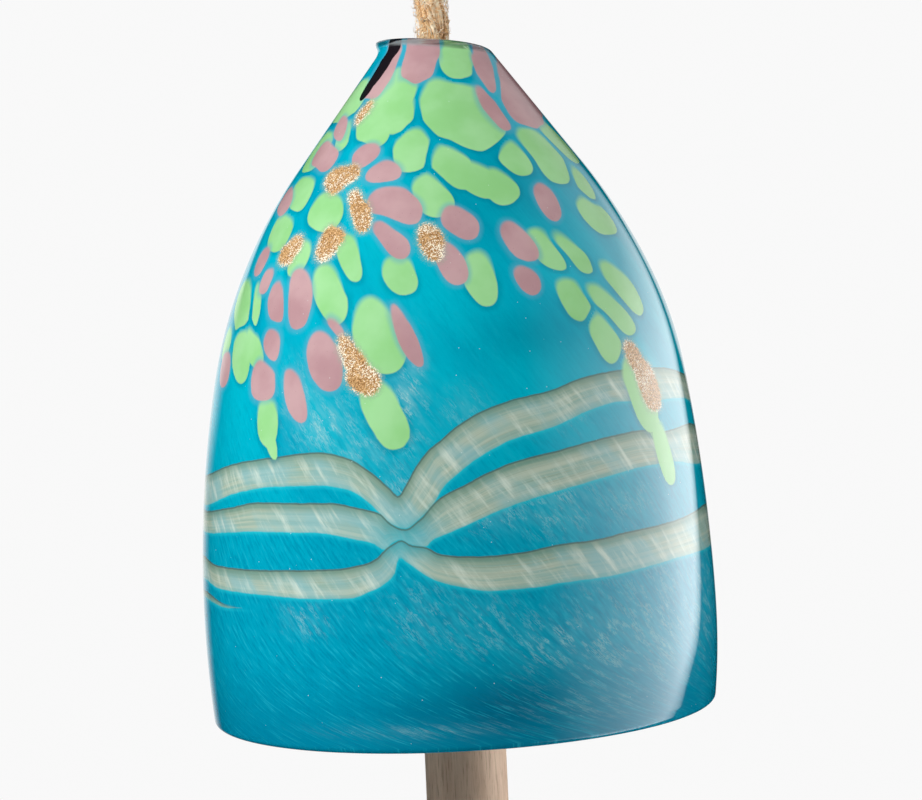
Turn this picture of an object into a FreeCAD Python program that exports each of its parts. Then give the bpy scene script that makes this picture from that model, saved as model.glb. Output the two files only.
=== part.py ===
import FreeCAD, Part
import Sketcher
import math
import os

from FreeCAD import Vector

os.makedirs("parts", exist_ok=True)
doc = FreeCAD.newDocument("WindBell")

# Furin wind bell: a blown glass bell on a jute rope, with a turned wooden clapper hung from a twine
# Millimetres, Z up, X to the right of the view, origin where a hook bears on the inside of the rope's eye
# Depths are measured down from the mean height of the cut neck, heights up from it

# Driving sizes
SIZES = {
    "rope_dia": 8.0,
    "rope_leg_gap": 0.3,
    "neck_waist_radius": 13.4,
    "neck_sweep_radius": 6.0,
    "neck_waist_depth": -0.6,
    "neck_cut_lean": 5.8,
    "neck_bore_radius": 9.25,
    "neck_bore_depth": 4.5,
    "lip_round": 1.6,
    "cone_lean": 36.85,
    "cone_end_depth": 29.8,
    "shoulder_radius": 122.3,
    "shoulder_end_lean": 10.75,
    "flank_radius": 285.0,
    "bell_wall": 3.0,
    "bell_height": 162.2,
    "rim_round": 1.3,
    "cut_overrun": 6.0,
    "ball_radius": 15.0,
    "ball_bore_radius": 4.5,
    "seat_gap": 0.3,
    "knot_radius": 11.5,
    "knot_half_height": 9.6,
    "knot_set_in": 0.4,
    "tail_below_knot": 16.5,
    "seizing_twine_dia": 2.4,
    "seizing_pitch": 2.9,
    "seizing_turn_count": 5,
    "seizing_height": 30.8,
    "seizing_gap": 0.2,
    "twine_dia": 2.0,
    "tie_pitch": 2.6,
    "tie_turn_count": 3,
    "tie_below_knot": 2.6,
    "tie_gap": 0.3,
    "twine_drop": 42.0,
    "twine_to_ring_gap": 0.3,
    "eye_wire_dia": 2.2,
    "eye_ring_radius": 4.3,
    "eye_bend_radius": 2.2,
    "eye_open_angle": 50.0,
    "eye_stand_off": 0.2,
    "eye_shank_length": 14.0,
    "pilot_spare_depth": 1.0,
    "pilot_gap": 0.03,
    "clapper_radius": 10.0,
    "clapper_below_rim": 47.5,
    "clapper_chamfer": 1.0,
}

sheet = doc.addObject("Spreadsheet::Sheet", "Sizes")
for row, (alias, value) in enumerate(SIZES.items(), start=1):
    sheet.set("A%d" % row, alias)
    sheet.set("B%d" % row, "%.6g" % value)
    sheet.setAlias("B%d" % row, alias)
doc.recompute()


def size(alias):
    return float(sheet.get(alias))


# Route of the rope, as shares of its own diameter: across, and up from the cut neck
# The standing part rises plumb, leans over to the left leg, and the eye comes round to the right leg
STANDING_TOP_SHARES = (0.0, 2.06)
LEFT_LEG_FOOT_SHARE = 3.31
LEG_TOP_SHARE = 7.5
RIGHT_LEG_END_SHARE = 3.25
EYE_SHARES = [(-3.41, 11.2), (-3.20, 13.84), (-1.30, 15.58), (1.30, 15.58), (3.22, 13.82), (3.43, 11.22)]
ARC_SHARE = 0.45

# Sizes worked out from the driving ones
rope_radius = size("rope_dia") / 2
leg_half = rope_radius + size("rope_leg_gap") / 2
neck_z = rope_radius - EYE_SHARES[2][1] * size("rope_dia")
cone_lean = math.radians(size("cone_lean"))
shoulder_end_lean = math.radians(size("shoulder_end_lean"))


def lean_point(centre, radius, lean):
    return (centre[0] + radius * math.cos(lean), centre[1] + radius * math.sin(lean))


# Outside of the bell in the plane of radius and depth: neck sweep, cone, shoulder arc, flank arc
sweep_centre = (size("neck_waist_radius") + size("neck_sweep_radius"), -size("neck_waist_depth"))
sweep_end = (
    sweep_centre[0] - size("neck_sweep_radius") * math.cos(cone_lean),
    sweep_centre[1] - size("neck_sweep_radius") * math.sin(cone_lean),
)
cone_end = (
    sweep_end[0] + (sweep_end[1] + size("cone_end_depth")) * math.tan(cone_lean),
    -size("cone_end_depth"),
)
shoulder_centre = (
    cone_end[0] - size("shoulder_radius") * math.cos(cone_lean),
    cone_end[1] - size("shoulder_radius") * math.sin(cone_lean),
)
shoulder_end = lean_point(shoulder_centre, size("shoulder_radius"), shoulder_end_lean)
flank_centre = lean_point(shoulder_end, -size("flank_radius"), shoulder_end_lean)
rim_z = -size("bell_height")
upper_z = size("cut_overrun")

# Inside of the bell: arcs one wall further in, and a steeper cone that thickens the glass up to the bore
inner_shoulder_radius = size("shoulder_radius") - size("bell_wall")
inner_flank_radius = size("flank_radius") - size("bell_wall")
bore_foot = (size("neck_bore_radius"), -size("neck_bore_depth"))
to_bore = (bore_foot[0] - shoulder_centre[0], bore_foot[1] - shoulder_centre[1])
seat_lean = math.atan2(to_bore[1], to_bore[0]) - math.acos(inner_shoulder_radius / math.hypot(*to_bore))
inner_cone_end = lean_point(shoulder_centre, inner_shoulder_radius, seat_lean)

# The fire polished rim: two small arcs, each tangent to the foot and to one face of the wall
rim_round_z = rim_z + size("rim_round")
outer_rim_lean = math.asin((rim_round_z - flank_centre[1]) / (size("flank_radius") - size("rim_round")))
outer_rim_centre = lean_point(flank_centre, size("flank_radius") - size("rim_round"), outer_rim_lean)
inner_rim_lean = math.asin((rim_round_z - flank_centre[1]) / (inner_flank_radius + size("rim_round")))
inner_rim_centre = lean_point(flank_centre, inner_flank_radius + size("rim_round"), inner_rim_lean)

# The ball rests in the inner cone, so its height follows from the cone and the gap
seat_reach = size("ball_radius") + size("seat_gap")
cone_apex_z = bore_foot[1] + bore_foot[0] / math.tan(seat_lean)
ball_z = neck_z + cone_apex_z - seat_reach / math.sin(seat_lean)
ball_half_bore = math.sqrt(size("ball_radius") ** 2 - size("ball_bore_radius") ** 2)
swing_z = ball_z + ball_half_bore
knot_z = ball_z - ball_half_bore - size("knot_half_height") + size("knot_set_in")
knot_foot_z = knot_z - size("knot_half_height")
tail_end_z = knot_foot_z - size("tail_below_knot")
tail_top_z = swing_z - rope_radius - size("seat_gap")

# The tie and the twine
twine_radius = size("twine_dia") / 2
tie_path_radius = rope_radius + size("tie_gap") + twine_radius
tie_top_z = knot_foot_z - size("tie_below_knot")
tie_height = size("tie_pitch") * size("tie_turn_count")
cord_swing_z = tie_top_z - twine_radius - tie_height
twine_top_x = tie_path_radius + twine_radius + size("tie_gap") + twine_radius
rock_z = cord_swing_z - size("twine_drop")
wire_radius = size("eye_wire_dia") / 2
bight_radius = wire_radius + size("twine_to_ring_gap") + twine_radius
ring_z = rock_z + bight_radius - size("eye_ring_radius")
clapper_top_z = ring_z - size("eye_ring_radius") - wire_radius - size("eye_stand_off")
clapper_end_z = neck_z + rim_z - size("clapper_below_rim")


# Small helpers of the sketches
def origin_plane(body, role):
    return next(feature for feature in body.Origin.OriginFeatures if feature.Role == role)


def new_sketch(body, role, name):
    sketch = body.newObject("Sketcher::SketchObject", name)
    sketch.AttachmentSupport = [(origin_plane(body, role), "")]
    sketch.MapMode = "FlatFace"
    return sketch


def vec(pair):
    return Vector(pair[0], pair[1], 0)


def add_line(sketch, start, end):
    return sketch.addGeometry(Part.LineSegment(vec(start), vec(end)), False)


def add_arc(sketch, centre, radius, start, end):
    circle = Part.Circle(vec(centre), Vector(0, 0, 1), radius)
    return sketch.addGeometry(Part.ArcOfCircle(circle, start, end), False)


def constrain(sketch, *values):
    return sketch.addConstraint(Sketcher.Constraint(*values))


def bound(sketch, expression, *values):
    index = constrain(sketch, *values)
    sketch.setExpression("Constraints[%d]" % index, expression)
    return index


# Glass bell: one revolved profile, its neck cut off a little out of square and fire polished
bell = doc.addObject("PartDesign::Body", "glass_bell")
bell.Label = "glass_bell"
profile = new_sketch(bell, "XZ_Plane", "BellProfile")
top_lean = math.asin((upper_z - sweep_centre[1]) / (2 * size("neck_sweep_radius")))
outer_top = (
    sweep_centre[0] - size("neck_sweep_radius") * math.cos(top_lean),
    sweep_centre[1] + size("neck_sweep_radius") * math.sin(top_lean),
)
bore_top = (bore_foot[0], outer_top[1])
sweep = add_arc(profile, sweep_centre, size("neck_sweep_radius"), math.pi - top_lean, math.pi + cone_lean)
cone = add_line(profile, sweep_end, cone_end)
shoulder = add_arc(profile, shoulder_centre, size("shoulder_radius"), shoulder_end_lean, cone_lean)
flank = add_arc(profile, flank_centre, size("flank_radius"), outer_rim_lean, shoulder_end_lean)
outer_rim = add_arc(profile, outer_rim_centre, size("rim_round"), -math.pi / 2, outer_rim_lean)
foot = add_line(profile, (outer_rim_centre[0], rim_z), (inner_rim_centre[0], rim_z))
inner_rim = add_arc(profile, inner_rim_centre, size("rim_round"), inner_rim_lean + math.pi, 1.5 * math.pi)
inner_flank = add_arc(profile, flank_centre, inner_flank_radius, inner_rim_lean, shoulder_end_lean)
inner_shoulder = add_arc(profile, shoulder_centre, inner_shoulder_radius, shoulder_end_lean, seat_lean)
inner_cone = add_line(profile, inner_cone_end, bore_foot)
bore = add_line(profile, bore_foot, bore_top)
crown = add_line(profile, bore_top, outer_top)
constrain(profile, "Tangent", sweep, 2, cone, 1)
constrain(profile, "Tangent", cone, 2, shoulder, 2)
constrain(profile, "Tangent", shoulder, 1, flank, 2)
constrain(profile, "Tangent", flank, 1, outer_rim, 2)
constrain(profile, "Tangent", outer_rim, 1, foot, 1)
constrain(profile, "Tangent", foot, 2, inner_rim, 2)
constrain(profile, "Tangent", inner_rim, 1, inner_flank, 1)
constrain(profile, "Tangent", inner_flank, 2, inner_shoulder, 1)
constrain(profile, "Tangent", inner_shoulder, 2, inner_cone, 1)
constrain(profile, "Coincident", inner_cone, 2, bore, 1)
constrain(profile, "Coincident", bore, 2, crown, 1)
constrain(profile, "Coincident", crown, 2, sweep, 1)
constrain(profile, "Coincident", inner_shoulder, 3, shoulder, 3)
constrain(profile, "Horizontal", foot)
constrain(profile, "Horizontal", crown)
constrain(profile, "Vertical", bore)
bound(profile, "Sizes.neck_sweep_radius", "Radius", sweep, size("neck_sweep_radius"))
bound(profile, "Sizes.neck_waist_radius + Sizes.neck_sweep_radius", "DistanceX", -1, 1, sweep, 3, sweep_centre[0])
bound(profile, "-Sizes.neck_waist_depth", "DistanceY", -1, 1, sweep, 3, sweep_centre[1])
bound(profile, "Sizes.cone_end_depth", "DistanceY", cone, 2, -1, 1, size("cone_end_depth"))
bound(profile, "Sizes.shoulder_radius", "Radius", shoulder, size("shoulder_radius"))
bound(profile, "Sizes.flank_radius", "Radius", flank, size("flank_radius"))
bound(profile, "Sizes.shoulder_radius - Sizes.bell_wall", "Radius", inner_shoulder, inner_shoulder_radius)
bound(profile, "Sizes.bell_height", "DistanceY", foot, 1, -1, 1, -rim_z)
bound(profile, "Sizes.rim_round", "Radius", outer_rim, size("rim_round"))
bound(profile, "Sizes.rim_round", "Radius", inner_rim, size("rim_round"))
bound(profile, "Sizes.neck_bore_radius", "DistanceX", -1, 1, bore, 1, bore_foot[0])
bound(profile, "Sizes.neck_bore_depth", "DistanceY", bore, 1, -1, 1, -bore_foot[1])
bell_turned = bell.newObject("PartDesign::Revolution", "BellTurned")
bell_turned.Profile = profile
bell_turned.ReferenceAxis = (profile, ["V_Axis"])
doc.recompute()


def slanted_cut(name, height, lean, side):
    sketch = new_sketch(bell, "XZ_Plane", name + "Line")
    reach = size("bell_height")
    rise = reach * math.tan(math.radians(lean))
    left = (-reach, height + rise)
    right = (reach, height - rise)
    far = height + side * reach
    corners = [left, right, (reach, far), (-reach, far)]
    for start, end in zip(corners, corners[1:] + corners[:1]):
        add_line(sketch, start, end)
    cut = bell.newObject("PartDesign::Pocket", name)
    cut.Profile = sketch
    cut.Midplane = True
    cut.Length = 2 * reach
    cut.setExpression("Length", "2 * Sizes.bell_height")
    doc.recompute()
    return cut


def edges_of_cut(feature, height, lean):
    normal = Vector(math.sin(math.radians(lean)), 0, math.cos(math.radians(lean)))
    found = []
    for index, edge in enumerate(feature.Shape.Edges, start=1):
        points = edge.discretize(12)
        off = max(abs((point - Vector(0, 0, height)).dot(normal)) for point in points)
        if off < size("lip_round") / 1000:
            found.append("Edge%d" % index)
    return found


full_volume = bell_turned.Shape.Volume
neck_cut = slanted_cut("NeckCut", 0, size("neck_cut_lean"), 1)
print("cut took", round(full_volume - neck_cut.Shape.Volume))
lip = bell.newObject("PartDesign::Fillet", "Lip")
lip.Base = (neck_cut, edges_of_cut(neck_cut, 0, size("neck_cut_lean")))
lip.setExpression("Radius", "Sizes.lip_round")
doc.recompute()
bell.Tip = lip
bell.Placement.Base = Vector(0, 0, neck_z)

# Wooden ball that carries the bell, bored for the rope
ball_full = doc.addObject("Part::Sphere", "BallTurned")
ball_full.setExpression("Radius", "Sizes.ball_radius")
ball_full.Placement.Base = Vector(0, 0, ball_z)
ball_bore = doc.addObject("Part::Cylinder", "BallBore")
ball_bore.setExpression("Radius", "Sizes.ball_bore_radius")
ball_bore.setExpression("Height", "2 * Sizes.ball_radius")
ball_bore.Placement.Base = Vector(0, 0, ball_z - size("ball_radius"))
ball = doc.addObject("Part::Cut", "seat_ball")
ball.Base = ball_full
ball.Tool = ball_bore
ball.Label = "seat_ball"

# Stopper knot: the rope's tail in the bore, the body of the knot under the ball and the short end
knot_body = doc.addObject("Part::Ellipsoid", "KnotBody")
knot_body.setExpression("Radius1", "Sizes.knot_half_height")
knot_body.setExpression("Radius2", "Sizes.knot_radius")
knot_body.Placement.Base = Vector(0, 0, knot_z)
tail = doc.addObject("Part::Cylinder", "RopeTail")
tail.setExpression("Radius", "Sizes.rope_dia / 2")
tail.Height = tail_top_z - tail_end_z
tail.Placement.Base = Vector(0, 0, tail_end_z)
knot = doc.addObject("Part::Fuse", "stopper_knot")
knot.Base = knot_body
knot.Tool = tail
knot.Label = "stopper_knot"


# Paths of cords: straight runs joined by tangent arcs
def corner_arc(before, corner, after, reach):
    to_before = (before - corner).normalize()
    to_after = (after - corner).normalize()
    start = corner + to_before * reach
    end = corner + to_after * reach
    half_turn = (math.pi - to_before.getAngle(to_after)) / 2
    radius = reach / math.tan(half_turn)
    inward = (to_before + to_after).normalize()
    middle = corner + inward * (radius / math.cos(half_turn) - radius)
    return start, middle, end, radius


def rounded_route(points):
    edges = []
    radii = []
    at = points[0]
    for before, corner, after in zip(points, points[1:], points[2:]):
        reach = ARC_SHARE * min((corner - before).Length, (after - corner).Length)
        start, middle, end, radius = corner_arc(before, corner, after, reach)
        edges.append(Part.LineSegment(at, start).toShape())
        edges.append(Part.Arc(start, middle, end).toShape())
        radii.append(round(radius, 1))
        at = end
    edges.append(Part.LineSegment(at, points[-1]).toShape())
    return edges, radii


def biarc(start, start_way, end, end_way):
    chord = end - start
    ways = start_way + end_way
    spread = 2 * (1 - start_way.dot(end_way))
    along = chord.dot(ways)
    reach = (math.sqrt(along ** 2 + spread * chord.dot(chord)) - along) / spread
    first_corner = start + start_way * reach
    last_corner = end - end_way * reach
    joint = (first_corner + last_corner) / 2
    return [
        bent_edge(start, first_corner, joint),
        bent_edge(joint, last_corner, end),
    ]


def bent_edge(start, corner, end):
    middle = (start + end) / 2
    half_chord = (end - start).Length / 2
    half_turn = math.atan2((corner - middle).Length, half_chord)
    rise = half_chord * math.tan(half_turn / 2)
    return Part.Arc(start, middle + (corner - middle).normalize() * rise, end).toShape()


def ring_profile(centre, way, radius, side_count):
    if not side_count:
        return Part.Wire(Part.makeCircle(radius, centre, way))
    across = way.cross(Vector(0, 0, 1))
    if across.Length < 0.5:
        across = way.cross(Vector(1, 0, 0))
    across.normalize()
    up = way.cross(across)
    corners = []
    for index in range(side_count + 1):
        turn = 2 * math.pi * (index % side_count + 0.5) / side_count
        corners.append(centre + across * (radius * math.cos(turn)) + up * (radius * math.sin(turn)))
    return Part.makePolygon(corners)


def tube(edges, radius, side_count=0):
    path = Part.Wire(edges)
    start = path.Edges[0].valueAt(path.Edges[0].FirstParameter)
    way = path.Edges[0].tangentAt(path.Edges[0].FirstParameter)
    section = ring_profile(start, way, radius, side_count)
    solid = path.makePipeShell([section], True, False)
    area = Part.Face(section).Area
    print("tube", round(path.Length, 2), "volume over section times length", round(solid.Volume / (area * path.Length), 4))
    return solid


def add_shape(name, shape):
    feature = doc.addObject("Part::Feature", name)
    feature.Label = name
    feature.Shape = shape
    feature.Placement = FreeCAD.Placement()
    return feature


def least_self_gap(edges, radius, apart):
    path = Part.Wire(edges)
    points = path.discretize(Distance=radius / 2)
    step = path.Length / (len(points) - 1)
    skip = int(apart / step)
    least = min(
        (a - b).Length
        for index, a in enumerate(points)
        for b in points[index + skip:]
    )
    return least - 2 * radius


# Hanger rope: standing part, eye and short end, as one tube that ends round at the swing point
def rope_point(across, height):
    return Vector(across, 0, neck_z + height * size("rope_dia"))


rope_route = [
    Vector(0, 0, swing_z),
    rope_point(*STANDING_TOP_SHARES),
    rope_point(-leg_half, LEFT_LEG_FOOT_SHARE),
    rope_point(-leg_half, LEG_TOP_SHARE),
]
rope_route += [rope_point(across * size("rope_dia"), height) for across, height in EYE_SHARES]
rope_route += [rope_point(leg_half, LEG_TOP_SHARE), rope_point(leg_half, RIGHT_LEG_END_SHARE)]
rope_edges, rope_radii = rounded_route(rope_route)
print("hanger_rope arc radii", rope_radii)
rope_tube = tube(rope_edges, rope_radius)
rope_foot = Part.makeSphere(rope_radius, Vector(0, 0, swing_z))
hanger = add_shape("hanger_rope", rope_tube.fuse(rope_foot).removeSplitter())

# Seizing: twine wound round both legs of the eye, one unbroken tube
WINDING_SIDE_COUNT = 8
seizing_radius = size("seizing_twine_dia") / 2
seizing_reach = rope_radius + size("seizing_gap") + seizing_radius
half_round = math.pi * seizing_reach
turn_length = 2 * half_round + 4 * leg_half
slope = math.atan2(size("seizing_pitch"), turn_length)
seizing_edges = []
climb = neck_z + size("seizing_height")
side = -1
for half in range(2 * int(size("seizing_turn_count")) + 1):
    way = Vector(-side * math.cos(slope), 0, math.sin(slope))
    start = Vector(side * leg_half, side * seizing_reach, climb)
    climb += 2 * leg_half * math.tan(slope)
    end = Vector(-side * leg_half, side * seizing_reach, climb)
    seizing_edges.append(Part.LineSegment(start, end).toShape())
    climb += half_round * math.tan(slope)
    if half < 2 * int(size("seizing_turn_count")):
        next_start = Vector(-side * leg_half, -side * seizing_reach, climb)
        next_way = Vector(side * math.cos(slope), 0, math.sin(slope))
        seizing_edges += biarc(end, way, next_start, next_way)
    side = -side
seizing = add_shape("rope_seizing", tube(seizing_edges, seizing_radius, WINDING_SIDE_COUNT))
print("rope_seizing least gap to itself", round(least_self_gap(seizing_edges, seizing_radius, half_round), 2))

# Tie: twine hitched round the rope's short end, one unbroken tube
tie_half_round = math.pi * tie_path_radius
tie_slope = math.atan2(size("tie_pitch"), 2 * tie_half_round)


def tie_point(half):
    side = 1 if half % 2 else -1
    return Vector(0, side * tie_path_radius, tie_top_z - twine_radius - half * size("tie_pitch") / 2)


def tie_way(half):
    side = 1 if half % 2 else -1
    return Vector(-side * math.cos(tie_slope), 0, -math.sin(tie_slope))


tie_edges = []
last_half = 2 * int(size("tie_turn_count"))
tie_start = tie_point(0)
tie_edges.append(Part.LineSegment(tie_start - tie_way(0) * size("twine_dia"), tie_start).toShape())
for half in range(last_half):
    tie_edges += biarc(tie_point(half), tie_way(half), tie_point(half + 1), tie_way(half + 1))
tie_end = tie_point(last_half)
tie_edges.append(Part.LineSegment(tie_end, tie_end + tie_way(last_half) * size("twine_dia")).toShape())
tie = add_shape("clapper_tie", tube(tie_edges, twine_radius, WINDING_SIDE_COUNT))
print("clapper_tie least gap to itself", round(least_self_gap(tie_edges, twine_radius, tie_half_round), 2))

# Twine: two legs from the sides of the tie down to a bight under the screw eye's ring
leg_slope = math.atan2(twine_top_x - bight_radius, size("twine_drop"))
bight_half_turn = (math.pi / 2 - leg_slope) / 2
bight_half = bight_radius * math.tan(bight_half_turn) / (2 * ARC_SHARE)
twine_route = [
    Vector(-twine_top_x, 0, cord_swing_z),
    Vector(-bight_half, 0, rock_z),
    Vector(bight_half, 0, rock_z),
    Vector(twine_top_x, 0, cord_swing_z),
]
twine_edges, twine_radii = rounded_route(twine_route)
print("clapper_twine arc radii", twine_radii)
twine_tube = tube(twine_edges, twine_radius)
for end in (twine_route[0], twine_route[-1]):
    twine_tube = twine_tube.fuse(Part.makeSphere(twine_radius, end))
twine = add_shape("clapper_twine", twine_tube.removeSplitter())

# Screw eye: one bent wire, its end open beside the shank
eye = doc.addObject("PartDesign::Body", "screw_eye")
eye.Label = "screw_eye"
bend_drop = math.sqrt(size("eye_ring_radius") ** 2 + 2 * size("eye_ring_radius") * size("eye_bend_radius"))
centre_gap = size("eye_ring_radius") + size("eye_bend_radius")
bend_centre = (size("eye_bend_radius"), -bend_drop)
touch_angle = math.atan2(-bend_drop, size("eye_bend_radius"))
shank_foot = (0, -bend_drop - size("eye_shank_length"))
wire_path = new_sketch(eye, "YZ_Plane", "EyeWire")
shank = add_line(wire_path, shank_foot, (0, -bend_drop))
bend = add_arc(wire_path, bend_centre, size("eye_bend_radius"), touch_angle + math.pi, math.pi)
ring_end = 1.5 * math.pi - math.radians(size("eye_open_angle")) * 0.6
ring = add_arc(wire_path, (0, 0), size("eye_ring_radius"), touch_angle, ring_end)
constrain(wire_path, "Tangent", shank, 2, bend, 2)
constrain(wire_path, "Tangent", bend, 1, ring, 1)
constrain(wire_path, "Coincident", ring, 3, -1, 1)
constrain(wire_path, "Vertical", shank)
constrain(wire_path, "PointOnObject", shank, 2, -2)
bound(wire_path, "Sizes.eye_ring_radius", "Radius", ring, size("eye_ring_radius"))
bound(wire_path, "Sizes.eye_bend_radius", "Radius", bend, size("eye_bend_radius"))
bound(wire_path, "Sizes.eye_shank_length", "DistanceY", shank, 1, shank, 2, size("eye_shank_length"))
wire_section = new_sketch(eye, "XY_Plane", "EyeSection")
wire_section.AttachmentOffset = FreeCAD.Placement(Vector(0, 0, shank_foot[1]), FreeCAD.Rotation())
wire_circle = wire_section.addGeometry(Part.Circle(Vector(0, 0, 0), Vector(0, 0, 1), wire_radius), False)
constrain(wire_section, "Coincident", wire_circle, 3, -1, 1)
bound(wire_section, "Sizes.eye_wire_dia / 2", "Radius", wire_circle, wire_radius)
doc.recompute()
eye_pipe = eye.newObject("PartDesign::AdditivePipe", "EyePipe")
eye_pipe.Profile = wire_section
eye_pipe.Spine = (wire_path, ["Edge1", "Edge2", "Edge3"])
doc.recompute()
eye.Tip = eye_pipe
eye.Placement.Base = Vector(0, 0, ring_z)
shank_end_z = ring_z + shank_foot[1]

# Clapper: a turned rod with eased ends and a pilot hole for the screw eye
clapper = doc.addObject("PartDesign::Body", "clapper")
clapper.Label = "clapper"
rod_sketch = new_sketch(clapper, "XY_Plane", "RodSection")
rod_circle = rod_sketch.addGeometry(Part.Circle(Vector(0, 0, 0), Vector(0, 0, 1), size("clapper_radius")), False)
constrain(rod_sketch, "Coincident", rod_circle, 3, -1, 1)
bound(rod_sketch, "Sizes.clapper_radius", "Radius", rod_circle, size("clapper_radius"))
rod = clapper.newObject("PartDesign::Pad", "Rod")
rod.Profile = rod_sketch
rod.Length = clapper_top_z - clapper_end_z
doc.recompute()
rod_edges = [
    "Edge%d" % index
    for index, edge in enumerate(rod.Shape.Edges, start=1)
    if isinstance(edge.Curve, Part.Circle)
]
eased = clapper.newObject("PartDesign::Chamfer", "EasedEnds")
eased.Base = (rod, rod_edges)
eased.setExpression("Size", "Sizes.clapper_chamfer")
doc.recompute()
pilot_sketch = new_sketch(clapper, "XY_Plane", "PilotSection")
pilot_sketch.AttachmentOffset = FreeCAD.Placement(
    Vector(0, 0, clapper_top_z - clapper_end_z), FreeCAD.Rotation()
)
pilot_radius = wire_radius + size("pilot_gap")
pilot_circle = pilot_sketch.addGeometry(Part.Circle(Vector(0, 0, 0), Vector(0, 0, 1), pilot_radius), False)
constrain(pilot_sketch, "Coincident", pilot_circle, 3, -1, 1)
bound(pilot_sketch, "Sizes.eye_wire_dia / 2 + Sizes.pilot_gap", "Radius", pilot_circle, pilot_radius)
pilot = clapper.newObject("PartDesign::Pocket", "Pilot")
pilot.Profile = pilot_sketch
pilot.Length = clapper_top_z - shank_end_z + size("pilot_spare_depth")
doc.recompute()
clapper.Tip = pilot
clapper.Placement.Base = Vector(0, 0, clapper_end_z)
doc.recompute()

# Checks, places of the joints and the files
for feature in doc.Objects:
    bad = [word for word in feature.State if word in ("Invalid", "Error")]
    if bad:
        raise RuntimeError("%s is %s" % (feature.Name, bad))
pieces = [hanger, seizing, ball, knot, bell, tie, twine, eye, clapper]
for piece in pieces:
    shape = piece.Shape
    if shape.isNull() or not shape.isValid() or len(shape.Solids) != 1:
        raise RuntimeError("%s has no valid single solid" % piece.Label)
    box = shape.BoundBox
    print(
        "%-14s %10.1f mm3  x %.2f..%.2f  y %.2f..%.2f  z %.2f..%.2f"
        % (piece.Label, shape.Volume, box.XMin, box.XMax, box.YMin, box.YMax, box.ZMin, box.ZMax)
    )
print("neck_z %.3f swing_z %.3f ball_z %.3f knot_z %.3f" % (neck_z, swing_z, ball_z, knot_z))
print("cord_swing_z %.3f rock_z %.3f ring_z %.3f tail_end_z %.3f" % (cord_swing_z, rock_z, ring_z, tail_end_z))
print("clapper_top_z %.3f clapper_end_z %.3f rim_z %.3f" % (clapper_top_z, clapper_end_z, neck_z + rim_z))
for piece in pieces:
    piece.Shape.exportStep("parts/%s.step" % piece.Label)
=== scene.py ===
# %% [markdown]
# # A blown-glass wind bell on its rope
# The bell is one closed skin of glass, free-blown and swung out into a flared
# shape, with chips of coloured glass picked up on the hot bubble and three
# combed trails round its flank. It hangs on a wooden ball that a knot holds on
# a seized loop of jute rope, and a turned wooden clapper hangs below it on
# twine. This file dresses that model: every piece stays where the packed
# frame has it, in metres, and what the frame shows only as plain tubes is
# made again here as laid rope and twine.

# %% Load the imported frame
import math

import bpy
import numpy as np
from mathutils import Matrix, Vector


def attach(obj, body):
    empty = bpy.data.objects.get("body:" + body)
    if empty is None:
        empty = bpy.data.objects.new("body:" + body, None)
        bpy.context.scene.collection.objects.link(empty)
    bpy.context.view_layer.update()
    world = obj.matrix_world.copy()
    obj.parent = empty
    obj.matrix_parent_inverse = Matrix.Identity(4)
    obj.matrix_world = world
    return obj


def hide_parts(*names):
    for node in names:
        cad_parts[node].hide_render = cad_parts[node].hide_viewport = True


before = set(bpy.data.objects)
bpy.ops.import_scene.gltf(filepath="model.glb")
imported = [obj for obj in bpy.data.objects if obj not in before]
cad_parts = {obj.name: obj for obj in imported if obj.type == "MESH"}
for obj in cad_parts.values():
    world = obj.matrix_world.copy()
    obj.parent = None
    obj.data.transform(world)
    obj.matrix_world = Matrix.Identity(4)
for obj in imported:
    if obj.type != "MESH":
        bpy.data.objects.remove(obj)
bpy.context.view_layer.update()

# %% [markdown]
# The heights that all the pieces share come first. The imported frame's origin
# is the inside top of the rope's eye, so everything hangs at negative heights.
# They are written in millimetres, as the maker would measure them, and one
# small helper turns them into the frame's metres.

# %% Shared heights and sizes
MM = 0.001
neck_height = -120.64          # where the neck's slanted cut crosses the axis
rim_height = -282.84           # where the rim's cut crosses the axis
bell_swing_height = -123.527   # mouth of the ball's bore, where the bell swings
knot_height = -161.345         # middle of the stopper knot
tail_end_height = -187.445     # cut end of the rope below the knot
twine_height = -182.345        # where the clapper's twine hangs from its tie
eye_height = -224.345          # where the twine carries the screw eye
leg_half = 4.15                # half the distance between the eye's two legs
rope_radius = 4.0


def metres(*point):
    return tuple(value * MM for value in point)


print("bell from", neck_height, "to", rim_height, "mm")

# %% [markdown]
# The camera stands level, a little over half a metre in front of the bell and
# just above the middle of it, which is why the neck is seen from slightly
# below and the rim from above. Its view is shifted down and not tilted, so the
# bell's sides don't lean together. The bell hangs a little out of plumb in the
# picture, so the camera is rolled by that much and the bell stays upright.

# %% Camera
frame_width, frame_height = 922, 800      # the picture, in its own pixels
focal_pixels = 2200
drop_pixels = 60                          # how far the view is shifted down
camera_place = (3.4, -539.0, -193.1)
camera_roll = math.radians(-2.55)

camera_data = bpy.data.cameras.new("bell_camera")
camera_data.sensor_width = 36
camera_data.lens = 36 * (focal_pixels / frame_width)
camera_data.shift_y = -drop_pixels / frame_width
camera_data.clip_start = 0.05
camera_data.clip_end = 50
camera = bpy.data.objects.new("bell_camera", camera_data)
bpy.context.scene.collection.objects.link(camera)
camera.matrix_world = (Matrix.Translation(metres(*camera_place))
                       @ Matrix.Rotation(math.radians(90), 4, "X")
                       @ Matrix.Rotation(camera_roll, 4, "Z"))
bpy.context.scene.camera = camera
print("lens", round(camera_data.lens, 1), "mm at", camera_place)

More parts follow.
